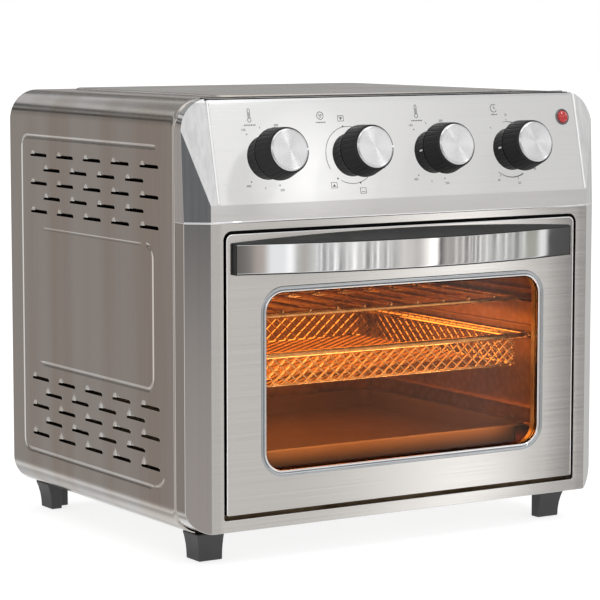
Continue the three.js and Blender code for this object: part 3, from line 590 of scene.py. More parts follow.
class Builder:
    """Collects points (millimetres, in any frame) and faces for one mesh."""

    def __init__(self):
        self.points = []
        self.faces = []
        self.count = 0

    def add(self, points, faces):
        points = np.asarray(points, float).reshape(-1, 3)
        self.points.append(points)
        self.faces += [tuple(int(i) + self.count for i in face) for face in faces]
        self.count += len(points)
        return self

    def grid(self, points, keep=None, close_rows=False, close_columns=False, close_ends=False):
        """Quads between the rows and columns of an array of points; keep masks single quads, and close_ends
        closes the first and last rows with a face each."""
        first = self.count
        rows, columns = points.shape[:2]
        faces = []
        for i in range(rows if close_rows else rows - 1):
            for j in range(columns if close_columns else columns - 1):
                if keep is None or keep[i, j]:
                    a, b = (i + 1) % rows, (j + 1) % columns
                    faces.append((i * columns + j, i * columns + b, a * columns + b, a * columns + j))
        self.add(points, faces)
        if close_ends:
            last = first + (rows - 1) * columns
            self.faces.append(tuple(range(first, first + columns)))
            self.faces.append(tuple(range(last, last + columns))[::-1])
        return self

    def tube(self, path, radius, sides=10, closed=False, round_ends=True):
        """Round wire along a path; open ends are domed."""
        path = np.asarray(path, float)
        steps = np.roll(path, -1, 0) - np.roll(path, 1, 0) if closed else np.gradient(path, axis=0)
        steps /= np.linalg.norm(steps, axis=1)[:, None]
        side = np.cross(steps[0], (0, 0, 1) if abs(steps[0][2]) < 0.9 else (1, 0, 0))
        rings = []
        for point, step in zip(path, steps):
            side = side - step * side.dot(step)
            side /= np.linalg.norm(side)
            rings.append((point, side, np.cross(step, side), step, radius))
        if round_ends and not closed:
            rings = self.dome(rings[0], -1)[::-1] + rings + self.dome(rings[-1], 1)
        turns = np.arange(sides) * 2 * math.pi / sides
        loops = [[p + r * (math.cos(t) * s + math.sin(t) * o) for t in turns] for p, s, o, _, r in rings]
        first = self.count
        self.grid(np.array(loops), close_rows=closed, close_columns=True)
        if not closed:
            last = first + (len(loops) - 1) * sides
            self.faces.append(tuple(range(first + sides - 1, first - 1, -1)))
            self.faces.append(tuple(range(last, last + sides)))
        return self

    @staticmethod
    def dome(ring, way):
        """Shrinking rings that round off a wire's end."""
        point, side, other, step, radius = ring
        return [(point + way * step * radius * math.sin(a), side, other, step, radius * math.cos(a))
                for a in (math.pi / 6, math.pi / 3, math.pi / 2 * 0.97)]

    def turned(self, profile, segments=96, shape=None):
        """Lathe about Z; profile is [(radius, height)], and shape may change a ring's radius by its angle."""
        angles = np.arange(segments) * 2 * math.pi / segments
        rings = []
        for radius, height in profile:
            radii = np.full(segments, float(radius)) if shape is None else shape(radius, height, angles)
            ring = [radii * np.cos(angles), radii * np.sin(angles), np.full(segments, height)]
            rings.append(np.stack(ring, 1))
        first = self.count
        self.grid(np.array(rings)[:, ::-1], close_columns=True)
        for ring, way in ((0, 1), (len(profile) - 1, -1)):
            if profile[ring][0] > 0.01:
                corners = [first + ring * segments + k for k in range(segments)]
                self.faces.append(tuple(corners[::way]))
        return self

    def block(self, low, high):
        (x0, y0, z0), (x1, y1, z1) = low, high
        corners = [(x, y, z) for z in (z0, z1) for y in (y0, y1) for x in (x0, x1)]
        faces = [(0, 2, 3, 1), (4, 5, 7, 6), (0, 1, 5, 4), (2, 6, 7, 3), (0, 4, 6, 2), (1, 3, 7, 5)]
        return self.add(corners, faces)

    def mesh(self, name, local=False):
        """The mesh, in metres in the row frame, or in its own frame when local."""
        points = np.concatenate(self.points)
        points = points * MM if local else to_row(points)
        mesh = bpy.data.meshes.new(name)
        mesh.from_pydata([tuple(p) for p in points], [], self.faces)
        mesh.validate()
        tidy_mesh(mesh)
        return mesh


def tidy_mesh(mesh):
    """Merges doubled points, turns faces outward and marks hard edges."""
    tool = bmesh.new()
    tool.from_mesh(mesh)
    bmesh.ops.remove_doubles(tool, verts=tool.verts, dist=1e-6)
    bmesh.ops.recalc_face_normals(tool, faces=tool.faces)
    tool.to_mesh(mesh)
    tool.free()
    mesh.shade_smooth()
    mesh.set_sharp_from_angle(angle=math.radians(35))


def mark_open_edges(mesh):
    """Keeps the edges round openings crisp once the sheet has its thickness."""
    tool = bmesh.new()
    tool.from_mesh(mesh)
    for edge in tool.edges:
        if edge.is_boundary:
            edge.smooth = False
    tool.to_mesh(mesh)
    tool.free()


def add_modifier(obj, kind, **settings):
    modifier = obj.modifiers.new(kind.lower(), kind)
    for key, value in settings.items():
        setattr(modifier, key, value)


def soften_edges(obj, width, segments=3, angle=32):
    """Rounds the hard edges by a width in millimetres and keeps the flats flat."""
    add_modifier(obj, "BEVEL", width=width * MM, segments=segments, limit_method="ANGLE",
                 angle_limit=math.radians(angle), use_clamp_overlap=True, miter_outer="MITER_ARC")
    add_modifier(obj, "WEIGHTED_NORMAL", keep_sharp=False, weight=60)


def add_piece(name, shape, body, material, replaces=(), matrix=None):
    """A piece from a mesh or a builder, whose points are in the piece's own frame where it has a matrix."""
    mesh = shape.mesh(name, local=matrix is not None) if isinstance(shape, Builder) else shape
    mesh.materials.append(material)
    obj = bpy.data.objects.new(name, mesh)
    scene.collection.objects.link(obj)
    if matrix is not None:
        obj.matrix_world = matrix
    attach(obj, body)
    if replaces:
        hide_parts(*replaces)
    return obj


def refined(node, body, material, width, press=None, angle=32, merge=0.002, flatten=True):
    """A CAD piece's shape with merged flats and rounded edges, which replaces it; press adds creases."""
    mesh = nodes[node].data.copy()
    mesh.materials.clear()
    tool = bmesh.new()
    tool.from_mesh(mesh)
    bmesh.ops.remove_doubles(tool, verts=tool.verts, dist=merge * MM)
    if flatten:
        bmesh.ops.dissolve_limit(tool, angle_limit=math.radians(0.6), verts=tool.verts, edges=tool.edges)
    bmesh.ops.recalc_face_normals(tool, faces=tool.faces)
    if press is not None:
        press(tool)
        bmesh.ops.remove_doubles(tool, verts=tool.verts, dist=merge * MM)
    tool.to_mesh(mesh)
    tool.free()
    mesh.shade_smooth()
    obj = add_piece(f"{node}_finished", mesh, body, material, (node,))
    soften_edges(obj, width, angle=angle)
    return obj


def keep_node(node, material):
    """A CAD piece whose shape is right, with a finished material."""
    mesh = nodes[node].data
    mesh.materials.clear()
    mesh.materials.append(material)


def spread(exact, low, high, step, fine=()):
    """Grid lines from low to high: the exact ones, fine stretches (from, to, step) and an even fill."""
    least_gap = 0.42
    lines = sorted({round(v, 4) for v in (*exact, low, high) if low <= v <= high})
    wanted = [v for start, end, small in fine for v in np.arange(start, end + small / 2, small)]
    wanted += list(np.arange(low, high, step))
    for value in wanted:
        if low < value < high and min(abs(value - v) for v in lines) > least_gap:
            lines.append(float(value))
    return np.array(sorted(lines))


def smooth_step(value):
    value = np.clip(value, 0, 1)
    return value * value * (3 - 2 * value)


def rounded_path(corners, radius, steps=8):
    """Open path through 2-D corners, with each inner corner as an arc."""
    path = [np.array(corners[0], float)]
    for before, corner, after in zip(corners, corners[1:], corners[2:]):
        before, corner, after = (np.array(p, float) for p in (before, corner, after))
        back = (before - corner) / np.linalg.norm(before - corner)
        ahead = (after - corner) / np.linalg.norm(after - corner)
        centre = corner + radius * (back + ahead)
        for k in range(steps + 1):
            turn = math.pi / 2 * k / steps
            path.append(centre - radius * (ahead * math.cos(turn) + back * math.sin(turn)))
    path.append(np.array(corners[-1], float))
    return np.array(path)


def rounded_rectangle(half_u, v0, v1, radius, steps=8):
    """Closed loop of 2-D points, anticlockwise, centred in u."""
    loop = []
    for u, v, start in ((half_u - radius, v0 + radius, -90), (half_u - radius, v1 - radius, 0),
                        (-half_u + radius, v1 - radius, 90), (-half_u + radius, v0 + radius, 180)):
        for k in range(steps + 1):
            turn = math.radians(start + 90 * k / steps)
            loop.append((u + radius * math.cos(turn), v + radius * math.sin(turn)))
    return np.array(loop)


# ---- Wrapped shell ----------------------------------------------------------------------------

SHELL_SHEET = 0.8
SHELL_LOW, SHELL_HIGH = box_mm("outer_shell")
SHELL_X = SHELL_HIGH[0]
SHELL_FRONT, SHELL_REAR = SHELL_LOW[1], SHELL_HIGH[1]
PLATEAU_RISE = 1.4
SHELL_TOP = SHELL_HIGH[2] - PLATEAU_RISE
SHELL_BOTTOM = SHELL_LOW[2]
TOP_RADIUS = 24.5
BOTTOM_RADIUS = 22
FLANGE_X = 150
PLATEAU_HALF, PLATEAU_FRONT, PLATEAU_REAR, PLATEAU_RADIUS = 142, 46, 292, 14
HEM_DEPTH, HEM_LINE = 1.1, 2.6

LOUVRE_LENGTH, LOUVRE_REAR, LOUVRE_PITCH_Y, LOUVRE_PITCH_Z = 29, 264.6, 46.26, 11.55
LOUVRE_ROWS, LOUVRE_COLUMNS = 5, 5
LOUVRE_BASES = (254.2, 70.2)
SLIT_LOW, SLIT_TOP, HOOD_MIDDLE, HOOD_TOP = -2.4, -0.6, 0.4, 3.0
HOOD_DEPTH = 1.1
DIMPLE_REACH = 4.5
DIMPLE_DEPTH = 2.0

BEAD_TOP, BEAD_REAR, BEAD_BOTTOM = 314, 280, 54
PANEL_TOP, PANEL_FRONT, PANEL_BOTTOM = 239.4, 59.4, 128.4


def louvres():
    """(front, rear, height) of each louvre; every second row has one fewer, half a pitch forward."""
    for base in LOUVRE_BASES:
        for row in range(LOUVRE_ROWS):
            shifted = row % 2
            for column in range(LOUVRE_COLUMNS - shifted):
                rear = LOUVRE_REAR - LOUVRE_PITCH_Y * (column + shifted / 2)
                yield rear - LOUVRE_LENGTH, rear, base + LOUVRE_PITCH_Z * row


def groove(y, z, path, half_width, depth, taper=14):
    """Depth of a pressed bead along a path in (y, z); it fades out at the path's ends."""
    nearest = np.full(y.shape, 1e9)
    for a, b in zip(path, path[1:]):
        along = b - a
        t = np.clip(((y - a[0]) * along[0] + (z - a[1]) * along[1]) / along.dot(along), 0, 1)
        nearest = np.minimum(nearest, np.hypot(y - a[0] - t * along[0], z - a[1] - t * along[1]))
    profile = 0.5 + 0.5 * np.cos(math.pi * np.clip(nearest / half_width, 0, 1))
    for end in (path[0], path[-1]):
        profile = profile * smooth_step((np.hypot(y - end[0], z - end[1]) + 1) / taper)
    return depth * profile


def side_depth(y, z):
    """How far the side wall is pressed in at (y, z)."""
    top, foot = BEAD_TOP, BEAD_BOTTOM
    outer = rounded_path([(49, top), (BEAD_REAR, top), (BEAD_REAR, foot), (56, foot)], 9)
    curl = np.array([(60, foot), (52, foot + 1.5), (46, foot + 5), (43, foot + 10)])
    top, foot = PANEL_TOP, PANEL_BOTTOM
    inner = rounded_path([(74, top), (PANEL_FRONT, top), (PANEL_FRONT, foot), (252, foot)], 10)
    inner_top = np.array([(72.0, top), (249.0, top)])
    depth = groove(y, z, outer, 2.4, 1.0)
    depth = np.maximum(depth, groove(y, z, curl, 2.0, 0.7, 6))
    depth = np.maximum(depth, groove(y, z, inner, 2.4, 1.0, 10))
    depth = np.maximum(depth, groove(y, z, inner_top, 1.5, 0.5, 10))
    for front, rear, height in louvres():
        ends = np.clip(np.minimum(rear - y, y - front) / 2, 0, 1)
        hood_fall = np.clip((height + HOOD_MIDDLE - z) / (HOOD_MIDDLE - SLIT_TOP), 0, 1)
        dimple = np.clip(np.minimum(rear - y, y - rear + 2 * DIMPLE_REACH) / DIMPLE_REACH, 0, 1)
        dimple_fall = np.clip((height + HOOD_TOP - z) / (HOOD_TOP - SLIT_TOP), 0, 1)
        hood = np.maximum(HOOD_DEPTH * ends * hood_fall, DIMPLE_DEPTH * dimple * dimple_fall)
        above_slit = (z > height + SLIT_TOP - 0.01) & (z < height + HOOD_TOP)
        depth = np.where(above_slit, np.maximum(depth, hood), depth)
    return depth


def top_rise(x, y):
    """Height of the raised middle of the top sheet."""
    middle = (PLATEAU_FRONT + PLATEAU_REAR) / 2
    half_depth = (PLATEAU_REAR - PLATEAU_FRONT) / 2
    dx = np.abs(x) - PLATEAU_HALF + PLATEAU_RADIUS
    dy = np.abs(y - middle) - half_depth + PLATEAU_RADIUS
    outside = np.hypot(np.maximum(dx, 0), np.maximum(dy, 0)) + np.minimum(np.maximum(dx, dy), 0)
    return PLATEAU_RISE * smooth_step((PLATEAU_RADIUS - outside) / 2.4)


def hem(y):
    """How far the sheet turns in at its front and rear edges, with a fine line behind the front one."""
    reach = np.minimum(y - SHELL_FRONT, SHELL_REAR - y)
    line = 0.5 + 0.5 * np.cos(math.pi * np.clip((y - SHELL_FRONT - HEM_LINE) / 1.1, -1, 1))
    return HEM_DEPTH * np.clip(1 - reach / 1.1, 0, 1) ** 2 + 0.45 * line


def side_heights():
    """Grid lines up the side walls, close together at the louvres and the pressed beads."""
    exact = [h + d for _, _, h in louvres() for d in (SLIT_LOW, SLIT_TOP, HOOD_MIDDLE, 1.6, HOOD_TOP)]
    fine = [(v - 3.2, v + 3.2, 0.6) for v in (BEAD_TOP, BEAD_BOTTOM, PANEL_TOP, PANEL_BOTTOM)]
    fine += [(BEAD_TOP - 14, BEAD_TOP, 1.1), (BEAD_BOTTOM, BEAD_BOTTOM + 14, 1.1)]
    fine += [(PANEL_TOP - 14, PANEL_TOP, 1.1), (PANEL_BOTTOM, PANEL_BOTTOM + 14, 1.1)]
    return spread(exact, SHELL_BOTTOM + BOTTOM_RADIUS, SHELL_TOP - TOP_RADIUS, 7, fine)


def shell_depths():
    """Grid lines from the wrap's front edge to its rear."""
    exact = []
    for front, rear, _ in louvres():
        exact += [front, front + 2, rear - 2 * DIMPLE_REACH, rear - DIMPLE_REACH, rear - 2, rear]
    for edge, way in ((SHELL_FRONT, 1), (SHELL_REAR, -1)):
        exact += [edge + way * d for d in (0.25, 0.6, 1.1, 1.5, 2.05, 2.6, 3.15, 3.7)]
    fine = [(v - 3.2, v + 3.2, 0.6) for v in (BEAD_REAR, PANEL_FRONT, PLATEAU_FRONT, PLATEAU_REAR)]
    fine += [(BEAD_REAR - 14, BEAD_REAR, 1.1), (40, 74, 1.1), (PLATEAU_REAR - 16, PLATEAU_REAR, 1.3)]
    return spread(exact, SHELL_FRONT, SHELL_REAR, 7, fine)


def section_arc(centre_x, centre_z, radius, start, end, steps=12):
    """(x, z, outward x, outward z) along a corner, without its ends."""
    turns = np.radians(np.linspace(start, end, steps + 1)[1:-1])
    return [(centre_x + radius * math.cos(t), centre_z + radius * math.sin(t), math.cos(t), math.sin(t))
            for t in turns]


def shell_section():
    """(x, z, outward x, outward z) round the wrap, from one lower flange over the top to the other."""
    low_z = SHELL_BOTTOM + BOTTOM_RADIUS
    high_z = SHELL_TOP - TOP_RADIUS
    low_x = SHELL_X - BOTTOM_RADIUS
    top_x = SHELL_X - TOP_RADIUS
    left = [(-x, SHELL_BOTTOM, 0, -1) for x in np.linspace(FLANGE_X, low_x, 4)]
    left += section_arc(-low_x, low_z, BOTTOM_RADIUS, 270, 180)
    left += [(-SHELL_X, z, -1, 0) for z in side_heights()]
    left += section_arc(-top_x, high_z, TOP_RADIUS, 180, 90)
    fine = [(-PLATEAU_HALF - 3, -PLATEAU_HALF + 11, 0.9), (PLATEAU_HALF - 11, PLATEAU_HALF + 3, 0.9)]
    top = [(x, SHELL_TOP, 0, 1) for x in spread([], -top_x, top_x, 12, fine)]
    return np.array(left + top + [(-x, z, -nx, nz) for x, z, nx, nz in reversed(left)])


def around_slits(section, y_lines):
    """Which quads of the wrap stay: all but those in a louvre's slit."""
    keep = np.ones((len(section) - 1, len(y_lines) - 1), bool)
    mid_y = (y_lines[:-1] + y_lines[1:]) / 2
    for i, (lower, upper) in enumerate(zip(section, section[1:])):
        if abs(lower[2]) > 0.999 and abs(upper[2]) > 0.999:
            mid_z = (lower[1] + upper[1]) / 2
            for front, rear, height in louvres():
                if SLIT_LOW < mid_z - height < SLIT_TOP:
                    keep[i] &= ~((mid_y > front) & (mid_y < rear))
    return keep


def make_shell():
    section = shell_section()
    y_lines = shell_depths()
    x, z, nx, nz = (np.repeat(section[:, k:k + 1], len(y_lines), 1) for k in range(4))
    y = np.repeat(y_lines[None, :], len(section), 0)
    depth = hem(y) + np.where(nx ** 2 > 0.999, side_depth(y, z), 0)
    rise = np.where(nz > 0.999, top_rise(x, y), 0)
    points = np.stack([x - nx * depth, y, z - nz * depth + rise], 2)
    wrap = Builder().grid(points, around_slits(section, y_lines))
    shell = add_piece("shell_wrap", wrap, "oven", SHELL, ("outer_shell",))
    mark_open_edges(shell.data)
    add_modifier(shell, "SOLIDIFY", thickness=SHELL_SHEET * MM, offset=-1)


# ---- Handle -----------------------------------------------------------------------------------

HANDLE_LOW = box_mm("handle_body")[0]
HANDLE_HALF = 157.8
HANDLE_END = 3.5
HANDLE_BOTTOM = HANDLE_LOW[2]
HANDLE_FRONT_TOP = 243.9
HANDLE_SLOPE = 0.18
HANDLE_WALL = 3.2
HANDLE_LIP = 0.75
HANDLE_REAR = -0.3
HANDLE_DEPTH = -HANDLE_LOW[1]
BOW_RISE = HANDLE_DEPTH - HANDLE_END
BOW_RADIUS = (HANDLE_HALF ** 2 + BOW_RISE ** 2) / (2 * BOW_RISE)
STRIP_HALF = HANDLE_HALF - 1.3
STRIP_SEAT = 1.15


def bow_front(x):
    """Depth of the handle's front face at x."""
    return float(BOW_RADIUS - HANDLE_DEPTH - np.sqrt(BOW_RADIUS ** 2 - np.square(x)))


def handle_top(x, y):
    """Height of the handle's top face: it climbs towards the door and arches in the middle."""
    crown = HANDLE_FRONT_TOP + HANDLE_SLOPE * HANDLE_DEPTH
    return float(crown - HANDLE_SLOPE * BOW_RISE * np.square(x / HANDLE_HALF) + HANDLE_SLOPE * y)


def grip_section(x):
    """The grip's outline at x, hollow from below between its solid ends."""
    front = bow_front(x)
    hollow = abs(x) <= HANDLE_HALF - 11
    roof = HANDLE_FRONT_TOP - HANDLE_WALL if hollow else HANDLE_BOTTOM + 0.02
    inner_front = min(front + HANDLE_WALL, -4.4)
    inner_rear = -4.0 if hollow else inner_front + 0.3
    seat = front + (STRIP_SEAT if abs(x) < HANDLE_HALF - 1 else 0)
    low, high = HANDLE_BOTTOM + HANDLE_LIP, HANDLE_FRONT_TOP - HANDLE_LIP
    outline = [(front, HANDLE_BOTTOM), (front, low), (seat, low), (seat, high), (front, high)]
    outline += [(y, handle_top(x, y)) for y in np.linspace(front, HANDLE_REAR, 5)]
    outline += [(HANDLE_REAR, HANDLE_BOTTOM), (inner_rear, HANDLE_BOTTOM), (inner_rear, roof)]
    outline += [(inner_front, roof), (inner_front, HANDLE_BOTTOM)]
    return [(x, y, z) for y, z in outline]


def make_handle():
    half = HANDLE_HALF
    stations = [-half, -half + 0.9, *np.linspace(-half + 1.1, half - 1.1, 65), half - 0.9, half]
    sections = np.array([grip_section(x) for x in stations])
    shape = Builder().grid(sections, close_columns=True, close_ends=True)
    grip = add_piece("handle_grip", shape, "door", HANDLE_PLASTIC, ("handle_body",))
    soften_edges(grip, 0.7, angle=40)

    low, high = (corner[2] for corner in box_mm("handle_strip"))
    lower_half = [(0.9, 0), (0.15, 0), (-0.05, 0.15), (-0.11, 0.45), (-0.12, 0.8), (-0.12, 4)]
    profile = [(out, low + rise) for out, rise in lower_half]
    profile += [(out, high - rise) for out, rise in reversed(lower_half)]
    sections = [[(x, bow_front(x) + out + 0.12, z) for out, z in profile]
                for x in np.linspace(-STRIP_HALF, STRIP_HALF, 161)]
    strip = Builder().grid(np.array(sections), close_columns=True, close_ends=True)
    add_piece("handle_chrome", strip, "door", CHROME, ("handle_strip",))


# ---- Window rim -------------------------------------------------------------------------------

WINDOW_HALF, WINDOW_BOTTOM, WINDOW_TOP, WINDOW_RADIUS = 128.4, 69.3, 205, 15
# Sections as (distance outside the window, depth).
BAND_SECTION = ((5.0, 0.1), (4.8, -0.2), (4.4, -0.35), (2.4, -0.3), (2.15, 0.1), (2.1, 3.0), (4.9, 3.0))
BEAD_SECTION = ((2.1, 0.8), (1.9, 0.0), (1.5, -0.45), (1.05, -0.6), (0.6, -0.45), (0.15, 0.0), (0, 0.8),
                (0, 3.0), (2.1, 3.0))


def window_loop(offset, depth, radius):
    """Points round the window, a distance outside it."""
    loop = rounded_rectangle(WINDOW_HALF + offset, WINDOW_BOTTOM - offset, WINDOW_TOP + offset, radius, 12)
    return [(u, depth, v) for u, v in loop]


def make_window_rim():
    """Pressed rim: a fine outer band in a darker chrome that paints shade on it, a groove and a rolled inner
    bead, with a thin black tube inside it as painted shade.
    """
    for name, section, material in (("rim_band", BAND_SECTION, RIM_BAND), ("rim_bead", BEAD_SECTION, CHROME)):
        rings = [window_loop(offset, depth, WINDOW_RADIUS + offset) for offset, depth in section]
        ring = Builder().grid(np.array(rings), close_rows=True, close_columns=True)
        rim = add_piece(name, ring, "door", material, ("window_trim",))
        rim.data.set_sharp_from_angle(angle=math.radians(75))
    # Painted shade: a thin black line between the bead and the glass.
    inner_shade = Builder().tube(window_loop(-0.2, 1.3, WINDOW_RADIUS), 0.5, 8, closed=True)
    add_piece("window_shade_line", inner_shade, "door", SHADE_BLACK)


# ---- Rack, basket and pan ---------------------------------------------------------------------


def make_wire_rack():
    low, high = box_mm("wire_rack")
    radius = 2.0
    side = high[0] - radius
    rods_z = high[2] - 1.5
    frame_z = low[2] + radius
    front, rear = low[1] + radius, high[1] - radius
    middle = (front + rear) / 2
    loop = rounded_rectangle(side, front, rear, 7, 6)
    wires = Builder().tube([(u, v, frame_z) for u, v in loop], radius, 12, closed=True)
    wires.tube([(-side, middle, frame_z), (side, middle, frame_z)], radius * 0.95, 12)
    for k in range(10):
        x = 25.4 * (k - 4.5)
        wires.tube([(x, y, rods_z) for y in np.linspace(front - 0.6, rear + 0.6, 9)], 1.5, 10)
    add_piece("rack_wires", wires, "rack", WIRE, ("wire_rack",))


MESH_WIDE, MESH_TALL = 10.2, 8.6
MESH_SLOPE = MESH_TALL / MESH_WIDE
STRAND_RADIUS = 0.62


def strand_ends(wide, tall, offset, sign):
    """Ends of one diagonal strand across a wide by tall sheet, or None where it misses the sheet."""
    slope = MESH_SLOPE * sign
    start = 0 if sign > 0 else tall
    u0, u1 = max(0, offset), min(wide, offset + tall / MESH_SLOPE)
    if u1 - u0 < 1:
        return None
    return [(u0, start + slope * (u0 - offset)), (u1, start + slope * (u1 - offset))]


def mesh_sheet(builder, wide, tall, place):
    """Expanded metal: diagonal strands both ways over a sheet that place() maps to 3-D."""
    for sign in (1, -1):
        offset = -math.ceil(tall / MESH_TALL) * MESH_WIDE
        while offset < wide:
            ends = strand_ends(wide, tall, offset, sign)
            if ends is not None:
                strand = [place(u, v, 0.3 * sign) for u, v in ends]
                builder.tube(strand, STRAND_RADIUS, 6, round_ends=False)
            offset += MESH_WIDE


def make_basket():
    low, high = box_mm("air_fry_basket")
    radius = 2.5
    frame_z = high[2] - radius
    side = high[0] - radius
    front, rear = low[1] + radius, high[1] - radius
    wall_x = 126.6
    floor_z = low[2] + 0.7
    tall = frame_z - radius * 0.4 - floor_z
    rim = rounded_rectangle(side, front, rear, 8, 6)
    foot = rounded_rectangle(wall_x, front + 0.6, rear - 0.6, 5, 4)
    wires = Builder().tube([(u, v, frame_z) for u, v in rim], radius, 12, closed=True)
    for way in (-1, 1):
        wires.tube([(way * wall_x, y, frame_z - 0.8) for y in (front, rear)], 1.5, 8)
    wires.tube([(u, v, floor_z) for u, v in foot], 0.95, 8, closed=True)
    net = Builder()
    for end in (front + 0.6, rear - 0.6):
        mesh_sheet(net, 2 * wall_x, tall, lambda u, v, o, y=end: (u - wall_x, y + o, floor_z + v))
    for way in (-1, 1):
        mesh_sheet(net, rear - front, tall,
                   lambda u, v, o, way=way: (way * wall_x + o, front + u, floor_z + v))
        mesh_sheet(net, rear - front, side - wall_x,
                   lambda u, v, o, way=way: (way * (wall_x + v), front + u, frame_z + o * 0.5))
    base = Builder()
    mesh_sheet(base, 2 * wall_x, rear - front, lambda u, v, o: (u - wall_x, front + v, floor_z + o))
    add_piece("basket_frame", wires, "basket", WIRE, ("air_fry_basket",))
    add_piece("basket_mesh", net, "basket", WIRE)
    # The floor mesh takes the darker wire, painted shade.
    add_piece("basket_base", base, "basket", SHADED_WIRE)


def make_pan():
    """Pressed pan: rounded floor edge, sloping walls and a rolled rim."""
    low, high = box_mm("baking_pan")
    floor_z, rim_z = low[2], high[2]
    wall_foot = 9
    wall_lean = 3 / 8
    profile = [(24, floor_z + 1.0), (10.5, floor_z + 1.0), (9.4, floor_z + 1.3), (8.9, floor_z + 2.4),
               (8.3, rim_z - 1.6), (7.6, rim_z - 0.5), (6.4, rim_z), (1.6, rim_z), (0.5, rim_z - 0.3),
               (0, rim_z - 1.1), (0.5, rim_z - 1.6), (1.3, rim_z - 1.5), (1.7, rim_z - 1.0),
               (6.6, rim_z - 1.0), (8.6, rim_z - 1.9), (9.4, rim_z - 3.0), (9.9, floor_z + 1.8),
               (11.2, floor_z), (24, floor_z)]
    rings = []
    for inset, z in profile:
        depth_inset = inset * wall_lean if inset < wall_foot else inset - wall_foot * (1 - wall_lean)
        radius = max(14 - inset * 0.5, 3)
        loop = rounded_rectangle(high[0] - inset, low[1] + depth_inset, high[1] - depth_inset, radius, 8)
        rings.append([(u, v, z) for u, v in loop])
    pan = Builder().grid(np.array(rings), close_columns=True, close_ends=True)
    add_piece("enamel_pan", pan, "pan", ENAMEL, ("baking_pan",))


# ---- Control panel: knobs, lamp and printing ----------------------------------------------------

POINTER_ON_SKIRT = {"air_temp": False, "function": False, "oven_temp": True, "timer": True}
PANEL_NORMAL = Vector(joints["air_temp_turn"]["axis"]).normalized()
PANEL_UP = PANEL_NORMAL.cross(Vector((1, 0, 0))).normalized()
PANEL_TURN = Matrix((Vector((1, 0, 0)), PANEL_UP, PANEL_NORMAL)).transposed().to_4x4()
NECK_RADIUS = 14.6
SKIRT_RADIUS = 16.8
GRIP_RADIUS = 20
GRIP_FRONT_RADIUS = 17.5
GRIP_BASE, GRIP_FRONT = 17.4, 33.8
CAP_RADIUS = 15.9
CAP_BASE, CAP_FRONT = 34.1, 35.6
GRIP_RIBS = 26
# Profile of a near-black ring in the groove between skirt and grip: painted shadow.
GAP_PROFILE = (
    (14.5, 15.4), (16.5, 15.4), (16.9, 15.7), (19.6, 16.9), (20.08, 17.3), (20.08, 18.1), (14.5, 18.1))


def knob_place(name):
    """Matrix of a frame on the panel's face at a knob: Z is the knob's axis and Y runs up the panel."""
    return Matrix.Translation(Vector(joints[name + "_turn"]["pos_m"])) @ PANEL_TURN


def ribbed(radius, height, angles):
    """Fine upright grooves round the grip and the skirt."""
    radii = np.full(len(angles), float(radius))
    if GRIP_BASE + 1.2 < height < GRIP_FRONT - 0.8 or 1 < height < 14.8:
        wave = 0.5 + 0.5 * np.cos(angles * GRIP_RIBS)
        radii -= 0.35 * wave ** 12
    return radii


def grip_profile():
    """(radius, height) of a knob: skirt, neck, tapering grip and the seat of its cap."""
    skirt = [(-0.3, 0.6), (0, 0.9), (0, 1.4), (0, 14.4), (0, 14.9), (-0.4, 15.3)]
    profile = [(NECK_RADIUS, 0.6)] + [(SKIRT_RADIUS + r, h) for r, h in skirt]
    profile += [(NECK_RADIUS, 15.5), (NECK_RADIUS, GRIP_BASE - 0.4), (GRIP_RADIUS - 1.2, GRIP_BASE - 0.3)]
    profile += [(GRIP_RADIUS - 0.3, GRIP_BASE), (GRIP_RADIUS, GRIP_BASE + 0.9)]
    radii = np.linspace(GRIP_RADIUS, GRIP_FRONT_RADIUS, 7)
    profile += zip(radii, np.linspace(GRIP_BASE + 1.3, GRIP_FRONT - 1.0, 7))
    profile += [(GRIP_FRONT_RADIUS - 0.25, GRIP_FRONT - 0.3), (GRIP_FRONT_RADIUS - 0.8, GRIP_FRONT)]
    profile += [(CAP_RADIUS - 0.2, GRIP_FRONT), (CAP_RADIUS - 0.5, GRIP_FRONT - 0.3), (0, GRIP_FRONT - 0.3)]
    return profile


def cap_profile():
    """(radius, height) of a knob's cap: a rounded edge round a slightly dished face."""
    edge = [(0, -0.95), (-0.75, -0.12), (-1.1, -0.02), (-1.3, -0.14), (-1.6, -0.16)]
    profile = [(0, CAP_BASE), (CAP_RADIUS - 0.1, CAP_BASE), (CAP_RADIUS, CAP_BASE + 0.2)]
    profile += [(CAP_RADIUS + r, CAP_FRONT + h) for r, h in edge]
    return profile + [(9, CAP_FRONT - 0.16), (0.6, CAP_FRONT - 0.2), (0, CAP_FRONT - 0.26)]


def make_knob(name, pointer_on_skirt):
    pointer = Builder()
    if pointer_on_skirt:
        pointer.block((-SKIRT_RADIUS - 0.12, -0.7, 8), (-SKIRT_RADIUS + 0.5, 0.7, 11.5))
    else:
        pointer.block((CAP_RADIUS - 1.5, -0.8, CAP_FRONT - 1.2), (CAP_RADIUS + 1.1, 0.8, CAP_FRONT - 0.02))
    grip = Builder().turned(grip_profile(), 384, ribbed)
    cap = Builder().turned(cap_profile(), 128)
    # Painted shadow: black ring filling the groove behind the grip.
    gap = Builder().turned(GAP_PROFILE, 96)
    place = knob_place(name)
    body = "dial_" + name
    pieces = {}
    for kind, shape, slot, material, replaced in (
            ("grip", grip, "charcoal_plastic", KNOB_PLASTIC, ("knob_" + name,)),
            ("cap", cap, "spun_aluminium", SPUN, ("knob_cap_" + name,)),
            ("gap", gap, "charcoal_plastic", SHADE_BLACK, ()),
            ("pointer", pointer, "charcoal_plastic", WHITE_PAINT, ())):
        pieces[kind] = add_piece(f"dial_{kind}_{name}", shape, body, material, replaced, place)
        pieces[kind].visible_glossy = False
    soften_edges(pieces["pointer"], 0.15, 2)


